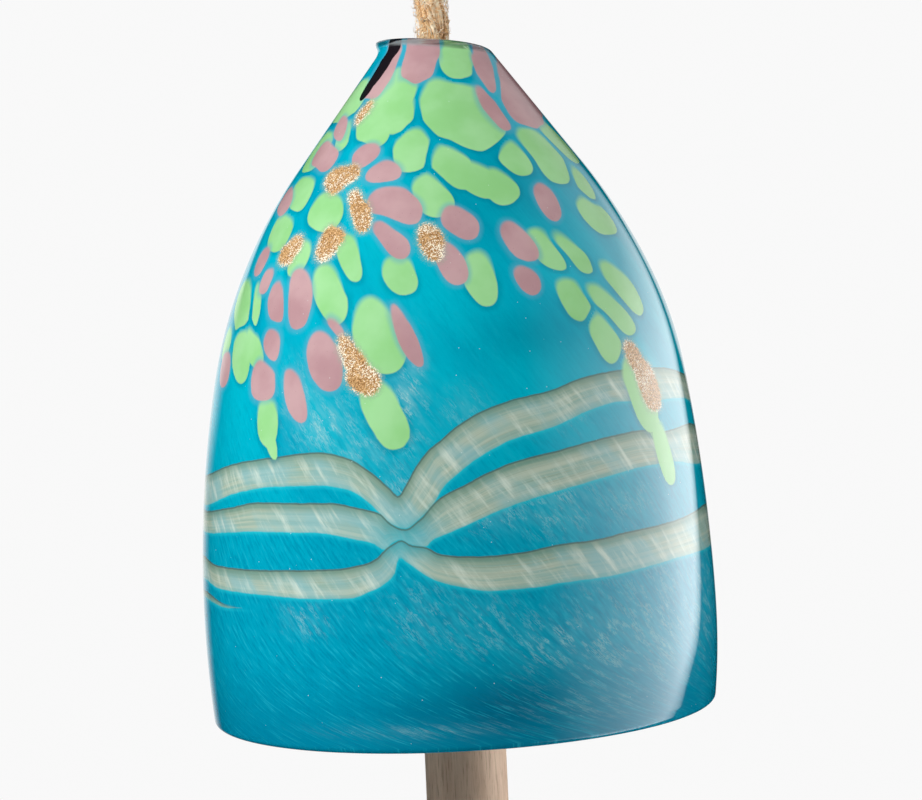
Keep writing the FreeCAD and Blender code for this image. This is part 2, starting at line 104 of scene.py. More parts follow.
# %% [markdown]
# ## Cords
# The rope is a fixed length of limp jute: it comes out of the ball's bore,
# runs up to the seizing, goes round the eye over the hook that holds it, and
# its cut end comes back down beside itself. The hook outside the picture keeps
# it taut. The twine is one short V that carries the clapper's screw eye, and
# both its ends go back to the tie on the rope's tail. Such lines could be drawn
# by hand in curve edit mode. Here they are quadratic splines on the same route
# points as the frame's tubes, so the new rope runs where the plain tube did.

# %% Routes of the rope and the twine
rope_route = [(0, bell_swing_height), (0, -104.16), (-leg_half, -94.16),
              (-leg_half, -60.64), (-27.28, -31.04), (-25.6, -9.92), (-10.4, 4.0),
              (10.4, 4.0), (25.76, -10.08), (27.44, -30.88),
              (leg_half, -60.64), (leg_half, -94.64)]
twine_route = [(-7.6, twine_height), (-2.357, eye_height),
               (2.357, eye_height), (7.6, twine_height)]


def line_object(name, kind, points):
    """A curve on points in millimetres: POLY is straight, NURBS is bent."""
    curve = bpy.data.curves.new(name, "CURVE")
    curve.dimensions = "3D"
    curve.resolution_u = 24
    spline = curve.splines.new(kind)
    spline.points.add(len(points) - 1)
    for control, point in zip(spline.points, points):
        control.co = (*metres(*point), 1.0)
    if kind == "NURBS":
        spline.order_u = 3
        spline.use_endpoint_u = True
    line = bpy.data.objects.new(name, curve)
    bpy.context.scene.collection.objects.link(line)
    return line


def points_on(line):
    mesh = bpy.data.meshes.new_from_object(line)
    found = [tuple(vertex.co) for vertex in mesh.vertices]
    bpy.data.meshes.remove(mesh)
    return found


def length_of(path):
    return sum((Vector(b) - Vector(a)).length for a, b in zip(path, path[1:]))


rope_line = line_object("rope_line", "NURBS", [(x, 0, z) for x, z in rope_route])
twine_line = line_object("twine_line", "NURBS", [(x, 0, z) for x, z in twine_route])
rope_path, twine_path = points_on(rope_line), points_on(twine_line)
print("rope", round(length_of(rope_path), 4), "m, twine",
      round(length_of(twine_path), 4), "m")

# %% [markdown]
# Rope and twine are the same thing at two sizes: yarns twisted one way into
# strands, and three strands laid the other way into a cord. A tube with a
# picture of rope on it would look flat at its edge and in the eye, so every
# yarn is real here, and one geometry node tree makes all the cords. A small
# bench of helpers adds the nodes and joins them as they are made, because a
# tree in a script is easier to follow as sums than as a list of links.

# %% Helpers for node trees


def tree_with(name, inputs):
    tree = bpy.data.node_groups.new(name, "GeometryNodeTree")
    tree.is_modifier = True
    made = {}
    for label, kind, value in inputs:
        socket = tree.interface.new_socket(label, in_out="INPUT",
                                           socket_type="NodeSocket" + kind)
        if value is not None:
            socket.default_value = value
        made[label] = socket.identifier
    tree.interface.new_socket("Geometry", in_out="OUTPUT",
                              socket_type="NodeSocketGeometry")
    return tree, made


class Bench:
    """Adds nodes to a tree and joins them as they are made."""

    def __init__(self, tree):
        self.tree = tree

    def feed(self, socket, value):
        if isinstance(value, bpy.types.NodeSocket):
            self.tree.links.new(value, socket)
        elif value is not None:
            socket.default_value = value

    def add(self, kind, inputs=None, out=0, **settings):
        """Makes a node and gives one output, or the node where out is None."""
        node = self.tree.nodes.new(kind)
        for key, value in settings.items():
            setattr(node, key, value)
        for key, value in (inputs or {}).items():
            if isinstance(key, int):
                socket = node.inputs[key]
            else:
                socket = next(s for s in node.inputs if s.name == key and s.enabled)
            self.feed(socket, value)
        if out is None:
            return node
        if isinstance(out, int):
            return [s for s in node.outputs if s.enabled][out]
        return next(s for s in node.outputs if s.name == out and s.enabled)

    def maths(self, operation, *values):
        node = self.tree.nodes.new("ShaderNodeMath")
        node.operation = operation
        for socket, value in zip(node.inputs, values):
            self.feed(socket, value)
        return node.outputs[0]

    def plus(self, *values):
        return self.maths("ADD", *values)

    def minus(self, *values):
        return self.maths("SUBTRACT", *values)

    def times(self, *values):
        return self.maths("MULTIPLY", *values)

    def divided(self, *values):
        return self.maths("DIVIDE", *values)

    def vector(self, operation, first, second=None):
        node = self.tree.nodes.new("ShaderNodeVectorMath")
        node.operation = operation
        self.feed(node.inputs[0], first)
        self.feed(node.inputs[3 if operation == "SCALE" else 1], second)
        return node.outputs["Value" if operation == "LENGTH" else "Vector"]


print("helpers for", bpy.app.version_string)

# %% [markdown]
# Each yarn is a line of many points. A point knows how far along it is, which
# gives the angle of its strand round the cord and of the yarn round its strand,
# the one turning against the other as in a real lay. The point then stands out
# from the centreline by those two angles. A Simple Deform modifier could
# twist a straight bundle, but not turn the yarns back inside their strands.

# %% Where the yarns lie
soft_lay = 1.17          # soft strands press into one another
counter_twist = 1.15     # turns of a yarn in its strand for one of the strand


def packed(b, whole, count):
    """Radius of each of count round things that fill a round whole."""
    return b.divided(whole, b.plus(1.0, b.divided(1.0, b.maths(
        "SINE", b.divided(math.pi, count)))))


def round_about(b, first, second, angle):
    return b.vector("ADD", b.vector("SCALE", first, b.maths("COSINE", angle)),
                    b.vector("SCALE", second, b.maths("SINE", angle)))


def yarn_places(b, given, which):
    """The place of each point of each yarn, and the radius of a yarn."""
    centreline, radius, lay = given["Geometry"], given["Radius"], given["Lay length"]
    strands, yarns = given["Strands"], given["Yarns per strand"]
    share = b.add("GeometryNodeSplineParameter", out="Factor")
    run = b.times(share, b.add("GeometryNodeCurveLength", {"Curve": centreline}))
    strand_number = b.maths("FLOOR", b.divided(b.plus(which, 0.5), yarns))
    yarn_number = b.minus(which, b.times(strand_number, yarns))
    alpha = b.times(b.plus(b.divided(run, lay), b.divided(strand_number, strands)),
                    math.tau)
    beta = b.times(b.minus(b.divided(yarn_number, yarns),
                           b.divided(b.times(run, counter_twist), lay)), math.tau)
    sample = b.add("GeometryNodeSampleCurve", {"Curves": centreline, "Factor": share},
                   out=None, mode="FACTOR", use_all_curves=True)
    tangent, normal = sample.outputs["Tangent"], sample.outputs["Normal"]
    out_way = round_about(b, normal, b.vector("CROSS_PRODUCT", tangent, normal), alpha)
    in_strand = round_about(b, out_way, b.vector("CROSS_PRODUCT", tangent, out_way),
                            beta)
    strand_radius = b.times(packed(b, radius, strands), soft_lay)
    yarn_radius = packed(b, strand_radius, yarns)
    place = b.vector("ADD", sample.outputs["Position"], b.vector(
        "SCALE", out_way, b.minus(radius, strand_radius)))
    return b.vector("ADD", place, b.vector(
        "SCALE", in_strand, b.minus(strand_radius, yarn_radius))), yarn_radius


print("yarns turn", counter_twist, "times for each turn of a strand")

# %% [markdown]
# The tree copies a straight line once for each yarn and moves its points to those
# places. Spun fibre is never even, so the yarns wander a little and vary in thickness.
# Each also keeps a tone for the material to read. It is random, but lower than the
# loose fibres' tones, which paints shade on the yarns.

# %% Yarns of a cord
yarn_corners = 5         # a yarn is too fine for more to show


def laid_yarns(b, given):
    """The yarns of all the strands as one mesh."""
    radius, seed = given["Radius"], given["Seed"]
    straight = b.add("GeometryNodeCurvePrimitiveLine", {"End": (0, 0, 1)})
    straight = b.add("GeometryNodeResampleCurve",
                     {"Curve": straight, "Count": given["Steps"]})
    starts = b.add("GeometryNodeMeshLine",
                   {"Count": b.times(given["Strands"], given["Yarns per strand"]),
                    "Offset": (0, 0, 0)})
    yarns = b.add("GeometryNodeInstanceOnPoints",
                  {"Points": starts, "Instance": straight})
    yarns = b.add("GeometryNodeRealizeInstances", {"Geometry": yarns})
    which = b.add("GeometryNodeCurveOfPoint", out="Curve Index")
    place, yarn_radius = yarn_places(b, given, which)
    wander = b.add("ShaderNodeTexNoise",
                   {"Vector": b.vector("ADD", place, b.vector(
                       "SCALE", (3.1, 7.7, 1.9), b.plus(which, seed))),
                    "Scale": b.divided(0.55, radius), "Detail": 2.0}, out="Color")
    wander = b.vector("SCALE", b.vector("SUBTRACT", wander, (0.5, 0.5, 0.5)),
                      b.times(yarn_radius, 1.1))
    yarns = b.add("GeometryNodeSetPosition",
                  {"Geometry": yarns, "Position": b.vector("ADD", place, wander)})
    uneven = b.add("ShaderNodeTexNoise",
                   {"Vector": place, "Scale": b.divided(1.6, radius),
                    "Detail": 1.0}, out="Fac")
    thick = b.times(yarn_radius, b.plus(0.98, b.times(uneven, 0.55)))
    # Painted shade: the yarns' tones lie lower than the loose fibres', so the yarns
    # come out darker under the fuzz and in the grooves.
    tone_and_shade = b.add("FunctionNodeRandomValue", {"Min": -0.5, "Max": 0.6, "ID": which,
                                             "Seed": seed}, out="Value")
    yarns = b.add("GeometryNodeStoreNamedAttribute",
                  {"Geometry": yarns, "Name": "tone_and_shade", "Value": tone_and_shade}, domain="POINT")
    ring = b.add("GeometryNodeCurvePrimitiveCircle",
                 {"Resolution": yarn_corners, "Radius": 1.0})
    return b.add("GeometryNodeCurveToMesh",
                 {"Curve": yarns, "Profile Curve": ring, "Scale": thick,
                  "Fill Caps": True})


print("yarns of", yarn_corners, "corners")

# %% [markdown]
# Bast rope is hairy: ends of fibre stand off it all round. Blender's own hair
# would be lost in a plain mesh, so each fibre is a bowed line of three points
# with a fine, tapering skin. They root on a sleeve just outside the cord and
# are turned and sized at random.

# %% Loose fibres
sleeve_size = 1.04       # of the sleeve the fibres root on, in radii of the cord
points_on_fibre = 3


def loose_fibres(b, given):
    centreline, reach, seed = given["Geometry"], given["Fibre length"], given["Seed"]
    ring = b.add("GeometryNodeCurvePrimitiveCircle", {"Resolution": 8, "Radius": 1.0})
    sleeve = b.add("GeometryNodeCurveToMesh",
                   {"Curve": centreline, "Fill Caps": False, "Profile Curve": ring,
                    "Scale": b.times(given["Radius"], sleeve_size)})
    points = b.add("GeometryNodeDistributePointsOnFaces",
                   {"Mesh": sleeve, "Density": given["Fibre density"],
                    "Seed": seed}, out=None)
    # Painted light: the loose fibres' tones reach higher, so their ends come out paler,
    # as if they catch the light.
    tone_and_shade = b.add("FunctionNodeRandomValue",
                 {"Min": -0.6, "Max": 1.9, "Seed": b.plus(seed, 9)}, out="Value")
    rooted = b.add("GeometryNodeStoreNamedAttribute",
                   {"Geometry": points.outputs["Points"], "Name": "tone_and_shade",
                    "Value": tone_and_shade}, domain="POINT")
    bow = b.add("GeometryNodeCurveQuadraticBezier",
                {"Resolution": 8, "Start": (0, 0, 0), "Middle": (0.4, -0.25, 0.32),
                 "End": (0.9, 0.3, -0.12)})
    bow = b.add("GeometryNodeResampleCurve", {"Curve": bow, "Count": points_on_fibre})
    thread = b.add("GeometryNodeCurvePrimitiveCircle", {"Resolution": 3, "Radius": 1.0})
    along = b.add("GeometryNodeSplineParameter", out="Factor")
    hair = b.add("GeometryNodeCurveToMesh",
                 {"Curve": bow, "Profile Curve": thread, "Fill Caps": True,
                  "Scale": b.times(b.divided(given["Fibre radius"], reach),
                                   b.minus(1.0, b.times(along, 0.7)))})
    spin = b.add("FunctionNodeRandomValue", {"Seed": seed},
                 data_type="FLOAT_VECTOR", out=None)
    b.feed(spin.inputs[0], (-0.35, -0.35, -3.1))
    b.feed(spin.inputs[1], (0.35, 0.35, 3.1))
    spin = b.add("FunctionNodeEulerToRotation", {"Euler": spin.outputs[0]})
    turned = b.add("FunctionNodeRotateRotation",
                   {"Rotation": points.outputs["Rotation"], "Rotate By": spin},
                   rotation_space="LOCAL")
    sizes = b.add("FunctionNodeRandomValue",
                  {"Min": b.times(reach, 0.35), "Max": reach,
                   "Seed": b.plus(seed, 5)}, out="Value")
    hairs = b.add("GeometryNodeInstanceOnPoints",
                  {"Points": rooted, "Instance": hair,
                   "Rotation": turned, "Scale": sizes})
    return b.add("GeometryNodeRealizeInstances", {"Geometry": hairs})


print("fibres of", points_on_fibre, "points root at", sleeve_size, "radii")

# %% [markdown]
# Both parts join in one tree, whose inputs are the sizes a ropemaker would
# name. A new rope then only needs a line and those sizes.

# %% The laid-cord node tree


def laid_cord_tree():
    tree, names = tree_with("laid_cord", [
        ("Geometry", "Geometry", None), ("Radius", "Float", 0.004),
        ("Lay length", "Float", 0.028), ("Strands", "Int", 3),
        ("Yarns per strand", "Int", 7), ("Steps", "Int", 200),
        ("Fibre density", "Float", 1e5), ("Fibre length", "Float", 0.003),
        ("Fibre radius", "Float", 4e-5), ("Seed", "Int", 1),
        ("Material", "Material", None)])
    b = Bench(tree)
    given = tree.nodes.new("NodeGroupInput").outputs
    both = tree.nodes.new("GeometryNodeJoinGeometry")
    for part in (laid_yarns(b, given), loose_fibres(b, given)):
        tree.links.new(part, both.inputs[0])
    whole = b.add("GeometryNodeRealizeInstances", {"Geometry": both.outputs[0]})
    whole = b.add("GeometryNodeSetShadeSmooth", {"Geometry": whole})
    whole = b.add("GeometryNodeSetMaterial",
                  {"Geometry": whole, "Material": given["Material"]})
    tree.links.new(whole, tree.nodes.new("NodeGroupOutput").inputs[0])
    return tree, names


cord_tree, cord_inputs = laid_cord_tree()
print("tree", cord_tree.name, "with", len(cord_tree.nodes), "nodes")

# %% [markdown]
# The tree is a modifier on a centreline. It could stay live, but the piece is
# handed on as a plain mesh, so its result is kept and the modifier taken off.

# %% Laying a cord along a line


def laid(name, line, material, **sizes):
    modifier = line.modifiers.new("laid", "NODES")
    modifier.node_group = cord_tree
    for label, value in sizes.items():
        label = label.replace("_", " ").capitalize()
        modifier[cord_inputs[label]] = value
    modifier[cord_inputs["Material"]] = material
    graph = bpy.context.evaluated_depsgraph_get()
    mesh = bpy.data.meshes.new_from_object(line.evaluated_get(graph),
                                           preserve_all_data_layers=True,
                                           depsgraph=graph)
    line.modifiers.remove(modifier)
    mesh.name = name
    if not mesh.materials:
        mesh.materials.append(material)
    piece = bpy.data.objects.new(name, mesh)
    bpy.context.scene.collection.objects.link(piece)
    print(name, len(mesh.polygons), "faces")
    return piece


print("cord inputs", list(cord_inputs))

# %% [markdown]
# A material here is sums of noise and colour. The helpers take a colour as it
# is seen on a screen, mix a second one in by a share, and turn a range of
# values smoothly into another. Pictures wrapped round a piece would need a
# seam somewhere, and noise in the object's own place needs none.

# %% Helpers for materials


def shader(name):
    material = bpy.data.materials.new(name)
    material.use_nodes = True
    material.node_tree.nodes.clear()
    return material, Bench(material.node_tree)


def finish_shader(b, surface):
    out = b.tree.nodes.new("ShaderNodeOutputMaterial")
    b.tree.links.new(surface, out.inputs["Surface"])


def srgb(*seen):
    """A colour as it is seen on a screen, 0 to 255, as linear light."""
    def linear(v):
        return v / 12.92 if v <= 0.04045 else ((v + 0.055) / 1.055) ** 2.4
    return (*(linear(v / 255) for v in seen), 1.0)


def mix(b, share, first, second):
    node = b.tree.nodes.new("ShaderNodeMix")
    node.data_type = "RGBA"
    b.feed(node.inputs[0], share)
    b.feed(node.inputs[6], first)
    b.feed(node.inputs[7], second)
    return node.outputs[2]


def tint(b, colour, share, *seen):
    """A colour with a second one, as it is seen, mixed in by a share."""
    return mix(b, share, colour, srgb(*seen))


def ramp(b, value, *stops):
    """Turns the range of the first two stops smoothly into that of the others."""
    node = b.tree.nodes.new("ShaderNodeMapRange")
    node.interpolation_type = "SMOOTHSTEP"
    for socket, given in zip(node.inputs, (value, *stops)):
        b.feed(socket, given)
    return node.outputs[0]


def attribute(b, name, out="Fac"):
    node = b.tree.nodes.new("ShaderNodeAttribute")
    node.attribute_name = name
    return node.outputs[out]


def noise(b, vector, scale, detail=3.0, roughness=0.5):
    return b.add("ShaderNodeTexNoise",
                 {"Vector": vector, "Scale": scale, "Detail": detail,
                  "Roughness": roughness}, out="Fac")


print("white is", srgb(255, 255, 255), "and mid grey", srgb(128, 128, 128))

# %% [markdown]
# Jute is a bast fibre: dull gold and hairy. One colour for all would look like plastic,
# so each yarn and each loose fibre has its own tone from the tree, and fine specks vary
# it further. The yarns' tones lie lower than the loose fibres'. That is painted shade
# in the grooves between the yarns, and the paler loose fibres are a painted highlight
# where their ends catch the light. Sheen gives the dry bloom of fibre. The clapper's
# twine is hemp, and the seizing is a paler twine.

# %% Jute, hemp and whipping twine


def fibre_material(name, dark, middle, light, lift=0.0):
    material, b = shader(name)
    place = b.add("ShaderNodeTexCoord", out="Object")
    blotch = noise(b, place, 620.0, 3.0)
    fine = noise(b, place, 2600.0, 4.0, 0.65)
    # Low tones, which the yarns have, give painted shade. High ones, which the loose
    # fibres have, give painted light.
    tone_and_shade = b.plus(attribute(b, "tone_and_shade"), lift)
    shade = b.plus(b.times(tone_and_shade, 0.4), b.times(fine, 1.3))
    colour = tint(b, srgb(*dark), ramp(b, shade, 0.27, 0.77, 0.0, 1.0), *middle)
    shine = b.plus(b.times(tone_and_shade, 0.35), blotch)
    colour = tint(b, colour, ramp(b, shine, 0.53, 0.89, 0.0, 0.85), *light)
    bump = b.add("ShaderNodeBump", {"Height": fine, "Strength": 0.5,
                                    "Distance": 0.0002})
    finish_shader(b, b.add("ShaderNodeBsdfPrincipled", {
        "Base Color": colour, "Roughness": 0.85, "Specular IOR Level": 0.2,
        "Sheen Weight": 0.35, "Sheen Roughness": 0.5, "Normal": bump}))
    return material


jute = fibre_material("jute_rope", (150, 94, 46), (255, 214, 160), (255, 248, 226))
hemp = fibre_material("hemp_twine", (122, 96, 62), (196, 168, 124),
                      (226, 206, 168), lift=0.4)
whipping = fibre_material("seizing_twine", (150, 122, 84), (214, 190, 148),
                          (238, 222, 188), lift=0.4)
print("fibres", jute.name, hemp.name, whipping.name)

# %% [markdown]
# The hanging rope takes the place of the frame's plain tube. Its strands are
# laid up with about 30 mm to a full turn, the pitch that shows between the neck
# and the top of the picture. A negative lay makes it left-handed, as it is
# there.

# %% Hanging rope
rope_sizes = {"radius": 3.75 * MM, "lay_length": -30 * MM, "strands": 3,
              "yarns_per_strand": 8, "fibre_density": 1.6e6,
              "fibre_length": 3.2 * MM, "fibre_radius": 0.14 * MM}
hanging_rope = laid("hanging_rope", rope_line, jute, steps=160, seed=3, **rope_sizes)
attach(hanging_rope, "rope")
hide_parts("hanger_rope")

# %% [markdown]
# The stopper knot is a plain overhand knot pulled tight under the ball. Its
# shape comes from pulling a loose knot tight: the line starts as an open
# trefoil, and at each step it is evened out, drawn together, and pushed apart
# wherever two parts of the rope come nearer than one thickness. Drawn by hand,
# such a knot cuts through itself or stays too loose to hold anything.

# %% Overhand knot pulled tight
knot_top_height = -140.0       # where the rope comes out under the ball


def loose_overhand(radius, count=150, lead=18):
    """A loose overhand knot on the plumb rope, in millimetres."""
    t = np.linspace(-2.15, 2.15, count)
    points = np.stack([(t ** 4 - 4 * t ** 2) * 1.25, (t ** 3 - 3 * t) * 2.3,
                       -(t ** 5 - 10 * t) * 0.42], axis=1)
    points[np.abs(t) > 1.98, 0] *= 0.2
    points *= radius / 2.0
    points[:, 2] += knot_height
    share = np.linspace(0, 1, lead)[:, None]
    start, end = np.array([[0, 0, knot_top_height], [0, 0, tail_end_height]])
    return np.vstack([start * (1 - share) + points[0] * share, points[1:-1],
                      points[-1] * (1 - share) + end * share])


def pull_tight(line, radius, rounds=700):
    line = line.copy()
    for _ in range(rounds):
        gaps = np.linalg.norm(np.diff(line, axis=0), axis=1)
        run = np.concatenate([[0], np.cumsum(gaps)])
        even = np.linspace(0, run[-1], len(line))
        line = np.stack([np.interp(even, run, line[:, k]) for k in range(3)], axis=1)
        spacing = run[-1] / (len(line) - 1)
        middle = 0.5 * (line[:-2] + line[2:])
        line[1:-1] += 0.42 * (middle - line[1:-1])
        away = line[:, None, :] - line[None, :, :]
        distance = np.linalg.norm(away, axis=2) + 1e-9
        number = np.arange(len(line))
        apart = np.abs(number[:, None] - number[None, :])
        near = (distance < 2 * radius) & (apart * spacing > 2.6 * radius)
        push = np.where(near, (2 * radius - distance) / distance * 0.25, 0.0)
        line += (away * push[:, :, None]).sum(axis=1) * 0.5
        line[0], line[-1] = (0, 0, knot_top_height), (0, 0, tail_end_height)
        line[1:4, :2] *= 0.5
        line[-4:-1, :2] *= 0.5
    return line


knot_points = pull_tight(loose_overhand(rope_radius), rope_radius * 0.95)
print("knot from", knot_points.min(axis=0).round(1),
      "to", knot_points.max(axis=0).round(1))

tail_line = line_object("tail_line", "POLY", knot_points)
rope_tail = laid("rope_tail", tail_line, jute, steps=120, seed=8, **rope_sizes)
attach(rope_tail, "seat")
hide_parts("stopper_knot")

# %% [markdown]
# The seizing is twine wound tightly round both legs of the eye, which keeps
# the eye closed. A plain helix would go round one rope. Here the middle of the
# helix steps smoothly from one leg to the other as it turns, so the twine
# follows the outline of the two ropes side by side.

# %% Seizing of the eye
seizing_turns, seizing_pitch, seizing_foot = 5, 2.9, -89.6
seizing_reach = 5.4            # from a leg's middle to the middle of the twine
turn_angle = np.linspace(-math.pi * 0.5, math.pi * (2 * seizing_turns - 0.1), 420)
side_share = np.tanh(2.6 * np.cos(turn_angle)) / math.tanh(2.6)
seizing_points = np.stack([
    leg_half * side_share + seizing_reach * np.cos(turn_angle),
    seizing_reach * np.sin(turn_angle),
    seizing_foot + seizing_pitch * (turn_angle - turn_angle[0]) / math.tau], axis=1)
seizing_line = line_object("seizing_line", "POLY", seizing_points)
seizing = laid("eye_seizing", seizing_line, whipping, radius=1.3 * MM,
               lay_length=8 * MM, strands=3, yarns_per_strand=4, steps=420,
               fibre_density=6e5, fibre_length=1.3 * MM,
               fibre_radius=0.025 * MM, seed=11)
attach(seizing, "rope")
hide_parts("rope_seizing")

# %% [markdown]
# The clapper's twine is tied three times round the rope's tail, and from the
# lowest turn two legs run down to the screw eye. The hitch could be a true knot
# like the one above. It is out of sight in the bell, so close turns do. When
# all the cords are laid, the lines they were laid on are taken away.

# %% Tie and twine
tie_reach, tie_pitch, tie_top = 5.2, 2.6, -174.6
tie_angle = np.linspace(-math.pi * 0.5, math.pi * 5.5, 220)
tie_points = np.stack([
    tie_reach * np.cos(tie_angle), tie_reach * np.sin(tie_angle),
    tie_top - tie_pitch * (tie_angle - tie_angle[0]) / math.tau], axis=1)
tie_line = line_object("tie_line", "POLY", tie_points)
tie = laid("clapper_hitch", tie_line, hemp, radius=1.1 * MM, lay_length=7 * MM,
           strands=3, yarns_per_strand=4, steps=260, fibre_density=8e5,
           fibre_length=1.2 * MM, fibre_radius=0.025 * MM, seed=17)
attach(tie, "tie")
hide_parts("clapper_tie")

twine = laid("clapper_line", twine_line, hemp, radius=1.0 * MM, lay_length=7 * MM,
             strands=3, yarns_per_strand=5, steps=300, fibre_density=1.2e6,
             fibre_length=0.85 * MM, fibre_radius=0.022 * MM, seed=23)
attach(twine, "twine")
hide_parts("clapper_twine")
for guide in (rope_line, twine_line, tail_line, seizing_line, tie_line):
    bpy.data.objects.remove(guide)

# %% [markdown]
# ## The glass bell
# The bell's profile is the same as the frame's: a short flared neck, a steep
# cone, a shoulder that turns over into a long, nearly upright flank, and a rim
# that comes in a little. Shoulder and flank are arcs of circles, and the wall
# is 3 mm thick inside them. The neck was cracked off and fire-polished at a
# slant, and the rim very slightly so. A Screw modifier could spin the outline
# into a bell. It is written as sums here, because the chips need to know how
# far out the glass is at every height.

# %% Profile of the bell
wall = 3.0
cone_top, cone_foot = -3.0, -29.8          # heights below the neck's cut
shoulder_foot = -80.33
shoulder_bend, shoulder_out, shoulder_height = 122.3, -63.17, -103.14
flank_bend, flank_out, flank_height = 285.0, -223.02, -133.49
bore_radius, bore_foot = 9.25, -4.5
inside_lean = math.radians(40.0)           # of the cone inside, off plumb


def arc(z, radius, out, height):
    """How far out an arc stands whose circle has its middle at out, height."""
    return out + np.sqrt(np.clip(radius ** 2 - (z - height) ** 2, 0, None))


def outside_radius(z):
    z = np.asarray(z, float)
    neck = 19.4 - np.sqrt(np.clip(36 - (z - 0.6) ** 2, 0, None))
    cone = 14.6 + (cone_top - z) * 20.09 / (cone_top - cone_foot)
    shoulder = arc(z, shoulder_bend, shoulder_out, shoulder_height)
    flank = arc(z, flank_bend, flank_out, flank_height)
    return np.where(z > cone_top, neck, np.where(z > cone_foot, cone, np.where(
        z > shoulder_foot, shoulder, flank)))


def inside_radius(z):
    z = np.asarray(z, float)
    bend = shoulder_bend - wall
    shoulder = arc(z, bend, shoulder_out, shoulder_height)
    flank = arc(z, flank_bend - wall, flank_out, flank_height)
    touch = shoulder_height + bend * math.sin(inside_lean)
    touch_radius = shoulder_out + bend * math.cos(inside_lean)
    cone = touch_radius - ((z - touch) * (touch_radius - bore_radius)
                           / (bore_foot - touch))
    return np.where(z > bore_foot, bore_radius, np.where(z > touch, cone, np.where(
        z > shoulder_foot - 0.56, shoulder, flank)))


neck_lean = math.tan(math.radians(5.8))
rim_lean = math.tan(math.radians(0.55))
highest, lowest = 2.5, -164.0
fine_z = np.linspace(highest, lowest, 3000)
fine_r = outside_radius(fine_z)
fine_run = np.concatenate([[0], np.cumsum(np.hypot(np.diff(fine_z), np.diff(fine_r)))])


def run_at(z):
    return np.interp(-np.asarray(z, float), -fine_z, fine_run)


def height_at(run):
    return np.interp(run, fine_run, fine_z)


rim_level = rim_height - neck_height
print("run down the outside", round(float(run_at(rim_level) - run_at(0)), 1), "mm")

# %% [markdown]
# The skin is laid out in columns, close together on the side that faces the
# camera, because the colours are kept on its points and a spun mesh would
# have as many at the back as in front. Two helpers come first: one finds where
# each column meets a slanted cut, the other rounds an edge as the flame does.

# %% Helpers for the skin
front = np.linspace(-100, 100, 281)[:-1]
back = np.linspace(100, 260, 121)[:-1]
column_degrees = np.concatenate([front, back])
column_angle = np.radians(column_degrees)
columns = len(column_angle)
across = np.sin(column_angle)


def cut_height(radius_of, level, lean):
    """Height at which each column meets a cut that leans across the bell."""
    z = np.full_like(across, level)
    for _ in range(12):
        z = level + lean * radius_of(z) * across
    return z


def rounded_edge(first, corner_a, corner_b, last, rows):
    """Points round an edge: from first past both corners to last."""
    middle = 0.5 * (corner_a + corner_b)
    share = np.linspace(0, 1, rows)[:, None]
    weight = 0.7071                    # each half is a quarter of an ellipse

    def bow(a, corner, d):
        middle_share = 2 * weight * share * (1 - share)
        top = a * (1 - share) ** 2 + corner * middle_share + d * share ** 2
        return top / ((1 - share) ** 2 + middle_share + share ** 2)
    return np.vstack([bow(first, corner_a, middle)[:-1], bow(middle, corner_b, last)])


print(columns, "columns,", round(float(front[1] - front[0]), 2),
      "degrees apart in front")

# %% [markdown]
# Each column is one closed section through the wall: down the outside, round
# the rim, up the inside, and over the fire-polished lip. The rows lie closer
# together where the chips are. A Solidify modifier would give the wall too, but
# not the soft, uneven edges that a flame leaves.

# %% Skin of the bell
outer_top = cut_height(outside_radius, 0.0, -neck_lean)
inner_top = cut_height(inside_radius, 0.0, -neck_lean)
outer_foot = cut_height(outside_radius, rim_level, rim_lean)
inner_foot = cut_height(inside_radius, rim_level, rim_lean)
outer_rows, inner_rows, edge_rows = 184, 30, 6
row_share = np.interp(np.linspace(0, 1, outer_rows), [0, 0.8, 1], [0, 0.6, 1])
rim = 1.3                              # how far from its cut the rim rounds
sections, runs = [], []
for c in range(columns):
    lip = 1.15 + 0.45 * across[c]
    top_run, foot_run = run_at(outer_top[c]), run_at(outer_foot[c])
    run = top_run + lip + (foot_run - rim - top_run - lip) * row_share
    z = height_at(run)
    outer = np.stack([outside_radius(z), z], axis=1)
    z = np.linspace(inner_foot[c] + rim, inner_top[c] - lip, inner_rows)
    inner = np.stack([inside_radius(z), z], axis=1)
    corner = [np.array([float(radius_of(h)), float(h)]) for radius_of, h in
              ((outside_radius, outer_foot[c]), (inside_radius, inner_foot[c]),
               (inside_radius, inner_top[c]), (outside_radius, outer_top[c]))]
    rim_edge = rounded_edge(outer[-1], corner[0], corner[1], inner[0], edge_rows)[1:-1]
    lip_edge = rounded_edge(inner[-1], corner[2], corner[3], outer[0], edge_rows)[1:-1]
    sections.append(np.vstack([outer, rim_edge, inner, lip_edge]))
    runs.append(np.concatenate([run, np.full(len(rim_edge), run[-1]),
                                run_at(z), np.full(len(lip_edge), run[0])]))
sections, runs = np.array(sections), np.array(runs)
rows = sections.shape[1]
from_lip = runs - runs[:, :1]
print("skin", columns, "columns of", rows, "rows")

# %% [markdown]
# A free-blown bell isn't quite round: on the right it is a little fuller at
# the shoulder and the flank, and on the left its lip flares out. A sculpting
# brush could do this by eye. Three smooth swellings with a size in millimetres
# do it so that it can be measured and changed.

